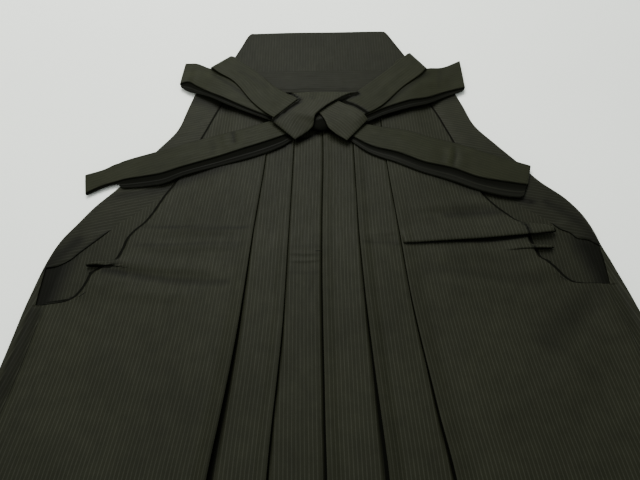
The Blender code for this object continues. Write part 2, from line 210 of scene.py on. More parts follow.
def shellRings(points, uv, paintedShade, wall):
    # A wall round the middle surface, each row a closed ring with rounded free edges.
    across = bisector(points, 1)
    normal = unit(np.cross(across, bisector(points, 0)))
    half = np.full((len(points), 1, 1), wall / 2)
    half[[0, -1]] *= 0.55
    top, under = points + normal * half, points - normal * half
    bend, reach = 0.62, 0.8
    startLip, endLip = across[:, :1] * half * -reach, across[:, -1:] * half * reach
    startTurn, endTurn = normal[:, :1] * half * bend, normal[:, -1:] * half * bend
    rings = np.concatenate((
        points[:, :1] + startLip + startTurn, top, points[:, -1:] + endLip + endTurn,
        points[:, -1:] + endLip - endTurn, under[:, ::-1], points[:, :1] + startLip - startTurn,
    ), axis=1)

    def bothFaces(values):
        return np.concatenate((
            values[:, :1], values, values[:, -1:], values[:, -1:], values[:, ::-1], values[:, :1],
        ), axis=1)

    return rings, bothFaces(uv), bothFaces(paintedShade)


def ringMesh(name, rings, uv, paintedShade):
    # Joins rings of equal count; each end is closed by strips across the wall.
    rowCount, count = rings.shape[:2]
    index = np.arange(rowCount * count).reshape(rowCount, count)
    after = np.roll(index, -1, axis=1)
    sides = np.stack((index[:-1], after[:-1], after[1:], index[1:]), axis=-1).reshape(-1, 4)
    k = np.arange(count // 2 - 1)
    first, last = index[0], index[-1]
    firstCap = np.stack((first[k], first[count - 1 - k], first[count - 2 - k], first[k + 1]), axis=-1)
    lastCap = np.stack((last[k], last[k + 1], last[count - 2 - k], last[count - 1 - k]), axis=-1)
    faces = np.concatenate((sides, firstCap, lastCap))
    points = rings.reshape(-1, 3) * mm
    a, b, c, d = (points[faces[:, i]] for i in range(4))
    volume = (np.cross(a, b) * c).sum() + (np.cross(a, c) * d).sum()
    if volume < 0:
        faces = faces[:, ::-1]
    mesh = bpy.data.meshes.new(name)
    mesh.from_pydata(points.tolist(), [], faces.tolist())
    mesh.polygons.foreach_set("use_smooth", [True] * len(faces))
    corners = np.zeros(len(mesh.loops), np.int32)
    mesh.loops.foreach_get("vertex_index", corners)
    layer = mesh.uv_layers.new(name=weaveMap)
    layer.data.foreach_set("uv", (uv.reshape(-1, 2) * mm)[corners].ravel())
    mark = mesh.attributes.new(paintedShadeMark, "FLOAT", "POINT")
    mark.data.foreach_set("value", paintedShade.ravel().astype(np.float32))
    mesh.update()
    return mesh


def addPiece(name, mesh, material, replaces=()):
    piece = bpy.data.objects.new(name, mesh)
    bpy.context.scene.collection.objects.link(piece)
    mesh.materials.append(material)
    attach(piece, "root")
    if replaces:
        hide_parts(*replaces)
    return piece


# Materials

class Wire:
    # One output socket, so that shader maths reads as Python.
    def __init__(self, board, socket):
        self.board = board
        self.socket = socket

    def math(self, operation, *values):
        return self.board.node("ShaderNodeMath", {"operation": operation}, dict(enumerate(values)))

    def __add__(self, other):
        return self.math("ADD", self, other)

    __radd__ = __add__

    def __sub__(self, other):
        return self.math("SUBTRACT", self, other)

    def __rsub__(self, other):
        return self.math("SUBTRACT", other, self)

    def __mul__(self, other):
        return self.math("MULTIPLY", self, other)

    __rmul__ = __mul__

    def __truediv__(self, other):
        return self.math("DIVIDE", self, other)

    def __rtruediv__(self, other):
        return self.math("DIVIDE", other, self)

    def fraction(self):
        return self.math("FRACT", self)

    def sine(self):
        return self.math("SINE", self)

    def size(self):
        return self.math("ABSOLUTE", self)

    def ease(self, low, high, start=0.0, end=1.0):
        return self.board.node(
            "ShaderNodeMapRange", {"interpolation_type": "SMOOTHSTEP"},
            {"Value": self, "From Min": low, "From Max": high, "To Min": start, "To Max": end},
        )


class Board:
    # The node tree of one material, or a geometry tree handed to it.
    def __init__(self, name, tree=None):
        if tree is None:
            self.material = bpy.data.materials.new(name)
            self.material.use_nodes = True
            tree = self.material.node_tree
        self.tree = tree
        self.tree.nodes.clear()

    def node(self, kind, settings=None, inputs=None, output=0):
        made = self.tree.nodes.new(kind)
        for key, value in (settings or {}).items():
            setattr(made, key, value)
        for key, value in (inputs or {}).items():
            if isinstance(value, Wire):
                self.tree.links.new(value.socket, made.inputs[key])
            else:
                made.inputs[key].default_value = value
        return Wire(self, made.outputs[output]) if made.outputs else made

    def mix(self, factor, a, b):
        return self.node("ShaderNodeMix", {"data_type": "RGBA"}, {0: factor, 6: a, 7: b}, 2)

    def dim(self, colour, shade):
        # A colour made darker or lighter by one number.
        grey = self.node("ShaderNodeCombineXYZ", {}, {0: shade, 1: shade, 2: shade})
        return self.node("ShaderNodeVectorMath", {"operation": "MULTIPLY"}, {0: colour, 1: grey})

    def noise(self, vector, scale, detail=2.0, roughness=0.5):
        return self.node(
            "ShaderNodeTexNoise", {},
            {"Vector": vector, "Scale": scale, "Detail": detail, "Roughness": roughness},
        )

    def finish(self, shader):
        self.node("ShaderNodeOutputMaterial", {}, {"Surface": shader})
        return self.material


clothLook = {
    "ground": (0.0102, 0.0109, 0.0060, 1),      # very dark olive
    "hairline": (0.0186, 0.0195, 0.0129, 1),    # the thin lighter stripe
    "pitch": 3.92,          # mm from stripe to stripe
    "stripeWidth": 1.15,
    "thread": 0.42,         # mm between threads of the weave
    "roughness": 0.58,
    "specular": 0.050,
    "threadRise": 0.06,
    "stripeRise": 0.10,
    "mottleRise": 0.5,
    "bumpStrength": 0.35,
    "bumpDepth": 0.0006,    # metres
    "depthShade": 0.86,     # how far the painted shade darkens the cloth
    "deep": (0.0034, 0.0036, 0.0026, 1),        # cloth that no light reaches
}


def stripedCloth(name, look, tone=1.0, contrast=1.0):
    board = Board(name)
    uv = board.node("ShaderNodeUVMap", {"uv_map": weaveMap})
    place = board.node("ShaderNodeTexCoord", output=3)
    across = board.node("ShaderNodeSeparateXYZ", {}, {0: uv}, 0) / mm
    along = board.node("ShaderNodeSeparateXYZ", {}, {0: uv}, 1) / mm

    # slubs: each stripe thickens and thins along its own length
    slubPlace = board.node("ShaderNodeCombineXYZ", {}, {0: across * 0.9, 1: along * 0.035})
    slub = board.noise(slubPlace, 1.0, 3.0, 0.6)
    phase = (across / look["pitch"] + 1000.25).fraction() - 0.5
    distance = phase.size() * look["pitch"]
    width = look["stripeWidth"] * (0.72 + slub * 0.5)
    stripe = 1 - (distance / (width * 0.5)).ease(0.35, 1.25)
    fleck = board.noise(board.node("ShaderNodeCombineXYZ", {}, {0: across * 1.7, 1: along * 0.45}), 1.0, 2.0)
    mask = stripe * fleck.ease(0.15, 0.62, 0.35, 1.0)

    # threads of the weave, as bump only
    perThread = 2 * math.pi / look["thread"]
    threads = (across * perThread).sine() * (along * perThread).sine() * 0.5

    broad = board.noise(place, 9.0, 3.0, 0.55)
    mottle = board.noise(place, 70.0, 4.0, 0.6)
    shade = (broad.ease(0.25, 0.75, 0.90, 1.10)) * (mottle.ease(0.2, 0.8, 0.90, 1.10))
    shade = shade * (0.86 + slub * 0.28)
    # painted shade: this attribute darkens the colour, and negative values paint it lighter
    paintedShade = board.node("ShaderNodeAttribute", {"attribute_name": paintedShadeMark}, output=2)
    shade = shade * (1 - paintedShade * look["depthShade"]) * tone

    colour = board.dim(board.mix(mask * contrast, look["ground"], look["hairline"]), shade)

    height = threads * look["threadRise"] + mask * look["stripeRise"] + mottle * look["mottleRise"]
    bump = board.node(
        "ShaderNodeBump", {},
        {"Strength": look["bumpStrength"], "Distance": look["bumpDepth"], "Height": height},
    )
    shader = board.node("ShaderNodeBsdfPrincipled", {}, {
        "Base Color": colour,
        "Roughness": 1 - (1 - look["roughness"]) * (0.6 + slub * 0.8),
        "Specular IOR Level": look["specular"],
        "Normal": bump,
    })
    # painted shadow: from 0.72 up, the painted shade mixes in the near-black cloth that no light reaches
    hidden = board.node("ShaderNodeBsdfDiffuse", {}, {"Color": look["deep"]})
    unlit = paintedShade.ease(0.72, 1.0, 0.0, 0.96)
    return board.finish(board.node("ShaderNodeMixShader", {}, {0: unlit, 1: shader, 2: hidden}))


cloth = stripedCloth("stripedCloth", clothLook, 1.03)
tieTint = {**clothLook, "ground": (0.0099, 0.0110, 0.0049, 1), "hairline": (0.0182, 0.0198, 0.0112, 1)}
tieCloth = stripedCloth("tieStripedCloth", tieTint, 0.95, 0.6)
wrapCloth = stripedCloth("wrapStripedCloth", clothLook, 1.2, 0.7)
bandCloth = stripedCloth("bandStripedCloth", clothLook, 0.78, 0.7)
boardCloth = stripedCloth("boardStripedCloth", clothLook, 0.85, 0.8)
print("materials made")

# Front halves

frontLook = {
    "rowStep": 4.0,         # mm between rows where the photo shows the cloth
    "shownTo": -140.0,
    "farStep": 9.0,
    "fineStep": 1.3,
    "fine": {"left": (50, 112), "right": (64, 156)},
    "columnStep": 3.6,
    # how far past the free edge the painted shadow line reaches
    "darkRim": 3.2,
    "edgeLift": 2.4,        # the free slit edge stands off the back cloth
    "press": 0.80,          # share of a pleat's height that the next panel lies at
    "settle": 130.0,        # the outer panels come down over this width
    "pastFold": 1.2,
    "grooveRoom": 1.6,      # cloth beside a parting that bends down into it
    "grooveSteps": (0.8, 0.6, 0.4, 0.22, 0.08, -0.1),
    "middleColumns": 14,
    "leastStep": 0.35,
    "rollReach": 40.0,      # a tuck starts to reach past the slit's edge this far inside it
}
frontCreases = {
    "left": (
        (-0.8, 9, 12, ((-262, 94), (-228, 89), (-194, 83), (-150, 77), (-96, 74))),
        (1.0, 16, 8, ((-258, 104), (-222, 99), (-170, 93), (-110, 88))),
        (0.8, 12, 14, ((-240, 66), (-190, 62), (-130, 58))),
        (0.7, 7, 9, ((-192, 145), (-150, 145), (-88, 142))),
        (0.8, 8, 7, ((-222, 122), (-170, 121), (-86, 118))),
        (-0.5, 5, 5, ((-200, 134), (-150, 133), (-100, 131))),
        (0.6, 4, 5, ((-44, 118), (-24, 118), (-2, 116))),
        (0.5, 4, 4, ((-42, 108), (-22, 106), (-3, 106))),
        (0.5, 3, 4, ((-40, 98), (-20, 97), (-4, 98))),
        (0.7, 26, 40, ((-270, 20), (-220, -20), (-160, -60))),
        (0.8, 30, 30, ((-300, -60), (-240, -110), (-190, -170))),
        (0.6, 14, 18, ((-88, 40), (-84, -20), (-92, -80))),
        (1.6, 40, 60, ((-330, -220), (-280, -330), (-250, -450))),
        (1.8, 36, 50, ((-210, -210), (-215, -330), (-235, -470))),
        (1.2, 20, 24, ((-100, -240), (-104, -350), (-118, -460))),
    ),
    "right": (
        (0.9, 14, 12, ((100, 168), (160, 172), (214, 178))),
        (-0.7, 8, 7, ((94, 158), (150, 162), (220, 166))),
        (0.7, 10, 16, ((96, 104), (160, 106), (250, 112))),
        (0.6, 5, 6, ((48, 133), (66, 133), (86, 134))),
        (-0.5, 6, 5, ((46, 122), (66, 122), (88, 121))),
        (0.8, 16, 20, ((110, 72), (180, 60), (250, 40))),
        (0.9, 30, 34, ((300, 30), (250, -30), (190, -90))),
        (-0.7, 18, 18, ((300, 62), (270, 20), (262, -40))),
        (0.7, 26, 30, ((130, 20), (150, -40), (170, -110))),
        (1.6, 44, 50, ((320, -200), (290, -320), (260, -450))),
        (1.8, 40, 44, ((190, -200), (212, -320), (222, -470))),
        (1.2, 20, 24, ((88, -230), (98, -340), (104, -460))),
    ),
}
# painted shade (+) and painted highlight (-) bands: painted shadows under the ties, the band and the tucks,
# shade in creases and gaps, and lit crests
frontShades = {
    "left": (
        (0.62, 6, 8, ((-252, 93), (-240, 91.5), (-229, 89.5), (-219, 87))),
        (0.42, 6, 8, ((-226, 89.5), (-200, 84.3), (-171.5, 78.8), (-132, 74.6), (-100, 74))),
        (0.46, 3.5, 5, ((-232, 151.2), (-193, 149.2), (-145, 146.2), (-80, 144))),
        (0.34, 3.5, 4, ((-228, 126), (-189, 124), (-143, 123), (-80, 122))),
        (-0.14, 6, 6, ((-236, 108), (-180, 97), (-110, 94))),
        (0.20, 2, 3, ((-46, 117), (-24, 117), (0, 116))),
        (0.16, 2, 2, ((-46, 106), (-24, 104), (0, 105))),
        (0.18, 2, 2, ((-44, 96), (-24, 95), (0, 96))),
        (0.20, 3, 5, ((-44, 84), (-20, 82), (0, 83))),
        (0.72, 5, 18, ((-262, 196), (-200, 211), (-130, 238), (-60, 268), (-20, 286))),
        (1.0, 5, 7, ((-60, 268), (-36, 277), (-20, 280), (3, 295), (12, 302))),
        (0.85, 5, 22, ((-190, 369), (-122, 342), (-90, 329), (-50, 305))),
        (0.25, 12, 12, ((-175, 368), (-155, 300), (-165, 260))),
        (-0.16, 3, 3, ((-97, -107), (-59, -108))),
        (1.8, 4, 4, ((-58, 375), (-47.9, 367.3), (-39.4, 359.3), (-31.7, 352.5))),
    ),
    "right": (
        (0.44, 8, 9, ((138, 158), (167, 158.7), (199, 159.5), (236, 162))),
        (-0.34, 5, 9, ((84, 130), (150, 134), (236, 145), (290, 151))),
        (0.26, 14, 10, ((150, 166), (190, 164), (236, 170))),
        (0.30, 4, 6, ((36, 120), (66, 120), (90, 120))),
        (0.16, 14, 14, ((100, 88), (180, 80), (250, 66))),
        (0.30, 26, 30, ((310, 62), (262, 30), (220, -10))),
        (-0.16, 3, 3, ((9, -25), (47, -26))),
        (1.8, 9, 9, ((13, 341), (27, 350.5), (36, 356), (54, 366))),
        (1.0, 7, 7, ((-10, 302), (3, 295), (27, 284), (40, 278), (70, 262))),
        (0.72, 5, 18, ((20, 290), (80, 256), (130, 230), (194, 196), (252, 174))),
        (1.0, 8, 8, ((48, 306), (70, 316), (92, 321), (108, 326))),
        (0.85, 5, 20, ((60, 312), (108, 329), (138, 342), (200, 366))),
    ),
}
# painted shadow lines where the slit's edge crosses a tuck, and painted shade along the tuck's soft upper rim
frontShadowLines = {
    "left": (
        (1.5, 3, 3, ((-231.5, 116), (-234.4, 107.6), (-236.3, 103.1), (-238.4, 98), (-241.5, 96.3),
                     (-249, 96), (-257, 95))),
        (0.5, 2.6, 2.6, ((-273, 100), (-263, 105.3), (-254, 105.8), (-245, 104.3), (-238, 100.4))),
    ),
    "right": (
        (1.5, 3.1, 3.1, ((222, 153), (227.5, 148.6), (232.4, 145.7), (236.6, 139.4), (238, 131.1),
                         (237.7, 121.9), (240.1, 113.8), (242.4, 105))),
    ),
}
# A tuck that lies over toward the hem. Along it, away is the distance up the cloth from its
# crest; the cloth moves by dy and dz, and past the slit's edge it reaches out as a roll.
tuckShape = Table(
    "away dy dz reach",
    (-14, 0, 0, 0), (-9, 0.4, 0.1, 0), (-6.2, 2.6, 0.5, 0.0), (-4.8, 2.4, 1.3, 0.35),
    (-3.6, 0.2, 2.4, 0.7), (-2.2, -2.6, 3.9, 0.95), (0, -4.2, 4.9, 1.0), (3, -3.6, 4.9, 1.0),
    (6, -2.7, 4.3, 0.9), (9, -1.9, 3.5, 0.5), (11, -1.4, 2.9, 0.15), (14, -1.0, 2.2, 0.0),
    (22, -0.3, 0.8, 0.0), (32, 0, 0, 0),
)
# size is the tuck's share of that shape, and band the width of the painted shadow beneath its lip
tucks = {
    "left": (
        {
            "crest": Table(
                "x y size band",
                (-276, 102.5, 0.34, 0.2), (-262, 99.5, 0.42, 0.8), (-253, 98.6, 0.46, 1.5),
                (-240, 100.5, 0.42, 1.6), (-226, 98, 0.3, 0.8), (-205, 91, 0.3, 1),
            ),
            "start": (-212, -238), "reach": -28,
        },
    ),
    "right": (
        {
            "crest": Table(
                "x y size band",
                (88, 120.6, 0.62, 1.1), (123, 123.8, 0.8, 1.9), (162, 127.2, 0.95, 3.2),
                (195, 130, 1.0, 4.8), (225, 133.2, 1.0, 5.2), (242, 137.2, 1.0, 5.4),
                (252, 141.1, 1.0, 4.2), (269, 144, 1.0, 3.0),
            ),
            "start": (82, 94), "reach": 31,
        },
        {
            "crest": Table(
                "x y size band",
                (196, 110.6, 0.26, 0.3), (218, 111.4, 0.3, 0.9), (240, 112.4, 0.3, -0.6),
                (252, 115.4, 0.3, 0.6), (275, 123.5, 0.25, 0.2),
            ),
            "start": (202, 222), "reach": 22,
        },
    ),
}


def rowPlaces(side):
    look = frontLook
    low, high = look["fine"][side]
    bottom = garment["slitBottom"][side]
    rows = list(np.arange(garment["waistY"], high, -look["rowStep"]))
    rows += list(np.arange(high, low, -look["fineStep"]))
    rows += list(np.arange(low, look["shownTo"], -look["rowStep"]))
    rows += list(np.arange(look["shownTo"], garment["hemY"] + 5, -look["farStep"]))
    rows += [bottom + 0.2, bottom - 0.4, bottom + 3, bottom + 7, 56, 54, 52]
    rows += [garment["hemY"] + 2.5, garment["hemY"] + 0.5, garment["hemY"]]
    kept = []
    for y in sorted(set(rows), reverse=True):
        if not kept or kept[-1] - y > look["leastStep"]:
            kept.append(y)
    return np.array(kept)


def frontEdge(side, y):
    back = backOutline.read(side, y)
    seam = back + (garment["sideStrip"] if side == "left" else -garment["sideStrip"])
    return np.where(y > garment["slitBottom"][side], slitEdge.read(side, y), seam)


class FrontHalf:
    # One pleated sheet, from under the centre fold to the slit's edge and the side seam.
    def __init__(self, side):
        self.side = side
        self.out = -1 if side == "left" else 1
        self.y = rowPlaces(side)
        self.cloth = Cloth(self.y)
        self.pitch = garment["pitch"]

    def lay(self, x, height, u, shows=1.0, paintedShade=0.0):
        self.cloth.add(x, layHeight(x, self.y) + height, u, None, shows, paintedShade)

    def fold(self, name, reach=None, deep=True):
        # The hidden turn and the standing edge of one knife pleat.
        y, out, pitch = self.y, self.out, self.pitch
        edge = pleatEdges.read(name, y)
        lift = pleatLifts.read(name, y)
        depth = pleatLifts.read("depth", y) if reach is None else np.full(y.shape, reach)
        if deep:
            # the hidden turn is painted fully in shade
            for t in (0.2, 0.45, 0.7, 0.9):
                self.lay(edge + out * depth * t, 0, depth * t, 0, 1)
            for a in np.radians((25, 60, 90, 120, 155)):
                x = edge + out * (depth + np.sin(a) * pitch / 2)
                self.lay(x, pitch / 2 * (1 - np.cos(a)), -depth, 0, 1)
        radius = pitch / 2 + 0.2 * lift
        centre = 1.5 * pitch + lift
        for t in (0.85, 0.62, 0.4, 0.22):
            away = np.maximum(depth * t, radius + 1)
            height = 0.8 * pitch + (centre - radius - 0.8 * pitch) * smooth(13, 3, away)
            self.lay(edge + out * away, height, -away, 0, 1)
        # the round of the edge is painted darker toward its underside as shade
        for a in np.radians((-90, -60, -32, -8, 16, 40, 65, 90)):
            x = edge + out * radius * (1 - np.cos(a))
            self.lay(x, centre + radius * np.sin(a), radius * a, 0, smooth(0.15, -1.1, a))
        return edge, lift, radius

    def panel(self, name, nextEdge, parting):
        # The open cloth from one fold to the next, where it goes under.
        edge, lift, radius = self.fold(name)
        self.openCloth(edge, lift, radius, nextEdge, parting)

    def openCloth(self, edge, lift, radius, nextEdge, parting):
        out, pitch = self.out, self.pitch
        width = out * (nextEdge - edge)
        level = 2 * pitch * frontLook["press"]
        startU = radius * (math.pi / 2 - 1)
        count = int(width.max() / frontLook["columnStep"])
        first = radius + frontLook["pastFold"]
        last = width - parting - frontLook["grooveRoom"]
        for t in np.linspace(0, 1, count):
            away = first + (last - first) * t
            top = level + (2 * pitch - level) * smooth(12, 3, away) + lift * smooth(15, 3, away)
            self.groove(edge, away, width, top, parting, startU)
        for share in frontLook["grooveSteps"]:
            away = width - (parting + frontLook["grooveRoom"]) * share
            self.groove(edge, away, width, level, parting, startU)

    def groove(self, edge, away, width, top, parting, startU):
        left = width - away
        drop = smooth(0.1, parting + 1.5, left)
        # painted shade: the cloth darkens as it goes down into the parting
        paintedShade = 1 - smooth(parting * 0.35, parting * 0.95 + 0.7, left)
        self.lay(edge + self.out * away, top * drop, startU + away, smooth(0.5, 6, left), paintedShade)

    def outerPanel(self, name):
        y, out, pitch, side = self.y, self.out, self.pitch, self.side
        edge, lift, radius = self.fold(name)
        bottom = garment["slitBottom"][side]
        free = y > bottom
        end = frontEdge(side, y) - out * np.where(free, 0, garment["seam"])
        width = out * (end - edge)
        raised = frontLook["edgeLift"] * smooth(235, 150, y) * smooth(bottom, bottom + 26, y)
        startU = radius * (math.pi / 2 - 1)
        first = radius + frontLook["pastFold"]
        count = int(width.max() / frontLook["columnStep"] / 1.45)
        for t in list(np.linspace(0, 0.8, count)) + list(np.linspace(0.81, 0.99, 19)) + [1.0]:
            away = first + (width - first) * t
            share = away / width
            top = 2 * pitch * (1 - smooth(8, frontLook["settle"], away)) * (1 - smooth(0.55, 1.0, share))
            top = top + lift * smooth(16, 3, away) + raised * smooth(0.6, 1.0, share)
            toSeam = np.where(free, 99.0, width - away)
            top = top + 1.5 * smooth(0, 5, toSeam) * smooth(34, 8, toSeam) * smooth(bottom, bottom - 26, y)
            # painted shade where the cloth meets the side seam
            paintedShade = 0.45 * (1 - smooth(0.2, 1.8, toSeam))
            self.lay(edge + out * away, top, startU + away, 1, paintedShade)
        # past its edge the cloth turns down, and a painted shadow line stands for the dark gap under it
        slope = np.abs(np.gradient(end, y))
        lean = np.where(free, np.minimum(np.sqrt(1 + slope ** 2), 4.5), 0.12)
        hidden = 0.8 * raised
        low = 0.5 + garment["wall"] - layHeight(edge + out * width, y)
        dark = 0.93 * free + 0.45 * ~free
        turnedDown = ((0.45, 0.5), (0.8, 0.0), (hidden + 1.2, 0.0), (hidden + frontLook["darkRim"], 0.0))
        for reach, share in turnedDown:
            height = np.where(free, low + (top - low) * share, top)
            self.lay(edge + out * (width + reach * lean), height, startU + width + reach, 0, dark)

    def points(self):
        points, uv, shows, paintedShade = (np.array(values) for values in self.cloth.grid())
        x, y = points[..., 0].copy(), points[..., 1].copy()
        points[..., 2] += shows * relief(frontCreases[self.side], x, y)
        paintedShade = shaded(paintedShade, frontShades[self.side], x, y, shows)
        end = frontEdge(self.side, y)
        covered = np.abs(end) + 4 > np.abs(x)
        for tuck in tucks[self.side]:
            crest, size, band = (tuck["crest"].read(name, x) for name in ("y", "size", "band"))
            away = (y - crest) / size
            begin = smooth(*tuck["start"], x) * np.maximum(shows, (x * self.out > 200) & covered)
            near = np.clip(1 - self.out * (end - x) / frontLook["rollReach"], 0, 1) ** 1.5
            points[..., 1] += begin * size * tuckShape.read("dy", away)
            points[..., 2] += begin * size * tuckShape.read("dz", away)
            push = near * tuck["reach"] * tuckShape.read("reach", away) * (begin > 0)
            points[..., 0] += push
            uv[..., 0] += push * self.out
            # painted shadow beneath the tuck's lip
            under = crest - 4.9 * size - y
            dark = begin * (1 - smooth(band - 0.7, band + 1.1, under)) * (away < -2.9)
            paintedShade = np.maximum(paintedShade, dark)
        x, y, z = (points[..., k] for k in range(3))
        return points, uv, shaded(paintedShade, frontShadowLines[self.side], x, y, z > 2.5)


def makeFront(side):
    half = FrontHalf(side)
    edges = {name: pleatEdges.read(name, half.y) for name in pleatEdges.columns if name != "y"}
    gaps = {name: pleatPartings.read(name, half.y) for name in pleatEdges.columns if name != "y"}
    if side == "left":
        # the middle panel lies under the centre fold and goes under the inner left one
        centre, inner = edges["centre"], edges["innerLeft"]
        level = 2 * half.pitch * frontLook["press"]
        # the cloth under the centre fold is painted fully in shade
        half.lay(centre + 11, 0, -11, 0, 1)
        half.lay(centre + 5, 0, -5, 0, 1)
        width = centre - inner
        room, steps = frontLook["grooveRoom"], frontLook["grooveSteps"]
        first, last = gaps["centre"] + room, width - gaps["innerLeft"] - room
        places = [first * share for share in reversed(steps)]
        places += [first + (last - first) * t for t in np.linspace(0, 1, frontLook["middleColumns"])]
        places += [width - (gaps["innerLeft"] + room) * share for share in steps]
        for away in places:
            middleGroove(half, centre, away, width, level, gaps)
        half.panel("innerLeft", edges["outerLeft"], gaps["outerLeft"])
        half.outerPanel("outerLeft")
    else:
        centre = edges["centre"]
        # the cloth under the centre fold is painted fully in shade
        for away, height in ((24, 0), (20, 0.1), (16, 0.8), (13, 1.0)):
            half.lay(centre + away, height * half.pitch, -away, 0, 1)
        edge, lift, radius = half.fold("centre", reach=11.0, deep=False)
        half.openCloth(edge, lift, radius, edges["innerRight"], gaps["innerRight"])
        half.panel("innerRight", edges["outerRight"], gaps["outerRight"])
        half.outerPanel("outerRight")
    points, uv, paintedShade = half.points()
    rings = shellRings(points, uv, paintedShade, garment["wall"] * 0.9)
    name = "front" + side.capitalize()
    return addPiece(name, ringMesh(name, *rings), cloth, ["front_" + side])


def middleGroove(half, centre, away, width, level, gaps):
    # The middle panel goes under a fold on both of its sides, and is painted dark as shade beside each.
    drop, lit, shows = 1.0, 1.0, 1.0
    for gap, left in ((gaps["centre"], away), (gaps["innerLeft"], width - away)):
        drop = drop * smooth(0.1, gap + 1.5, left)
        lit = lit * smooth(gap * 0.35, gap * 0.95 + 0.7, left)
        shows = shows * smooth(0.5, 6, left)
    half.lay(centre - away, level * drop, away, shows, 1 - lit)


fronts = {side: makeFront(side) for side in ("left", "right")}
print("front halves made")

# Back halves

backLook = {
    "puff": 2.6,            # how far the rounded side fold stands up below the slit
    "columns": 30,
    "turnSlant": 15.0,      # degrees that the stripes of the turned cloth slope down outward
    "inset": 0.55,          # the rounded edge stays this far inside the outline
    "edgeFall": 0.85,       # how far the turned cloth comes down toward its own edge
    "mergedFall": 2.06,     # and where that edge sinks out of sight, over these heights
    "merged": (143, 149, 262, 240),
    # where the rounded fold begins, its width at the slit's bottom, and the hollow behind it painted dark
    # as shade (dark, fade); tone is the turned cloth's painted shade, and shades are painted shadow bands
    "left": {"rollTop": 98.0, "roll": 10.0, "dark": (18, 45), "fade": (136, 108), "tone": 0.16,
             "shades": ((0.62, 6, 16, ((-262, 196), (-230, 200), (-180, 212))),
                        (1.4, 2.0, 2.0, ((-266, 70), (-270, 64.5), (-277, 60.5), (-286, 57.5), (-306, 55.5))),
                        (0.72, 14, 14, ((-323, 90), (-313, 101), (-303, 113), (-292, 126), (-280, 140))),
                        (0.70, 8, 18, ((-215, 380), (-172, 362), (-130, 344))))},
    "right": {"rollTop": 113.0, "roll": 15.0, "dark": (20, 46), "fade": (160, 112), "tone": 0.32,
              "shades": ((0.62, 8, 16, ((180, 200), (230, 186), (262, 172))),
                         (0.42, 9, 14, ((226, 192), (250, 184), (276, 176))),
                         (0.62, 16, 16, ((266, 178), (287, 163), (301, 147.5), (311, 131), (319, 115))),
                         (1.4, 2.0, 2.0, ((262, 77.5), (267, 73), (274, 69.1), (284, 67), (310, 66.4))),
                         (0.60, 8, 16, ((130, 338), (170, 352), (230, 372))))},
}


def stripWidth(side, y):
    # How much turned cloth shows along the side, from the outline inward.
    look = backLook[side]
    edge = np.abs(backOutline.read(side, y))
    visible = edge - np.abs(frontEdge(side, y)) - 2 - 1.7 * smooth(225, 245, y)
    turned = edge - np.abs(turnedEdge.read(side, y))
    wide = np.where(y < 200, np.minimum(visible, turned), visible)
    bottom = garment["slitBottom"][side]
    grown = np.clip((look["rollTop"] - y) / (look["rollTop"] - bottom), 0, 1)
    wide = np.where(y < look["rollTop"], 2.6 + (look["roll"] - 2.6) * grown, np.maximum(wide, 2.6))
    return np.where(y <= bottom, garment["sideStrip"], wide)


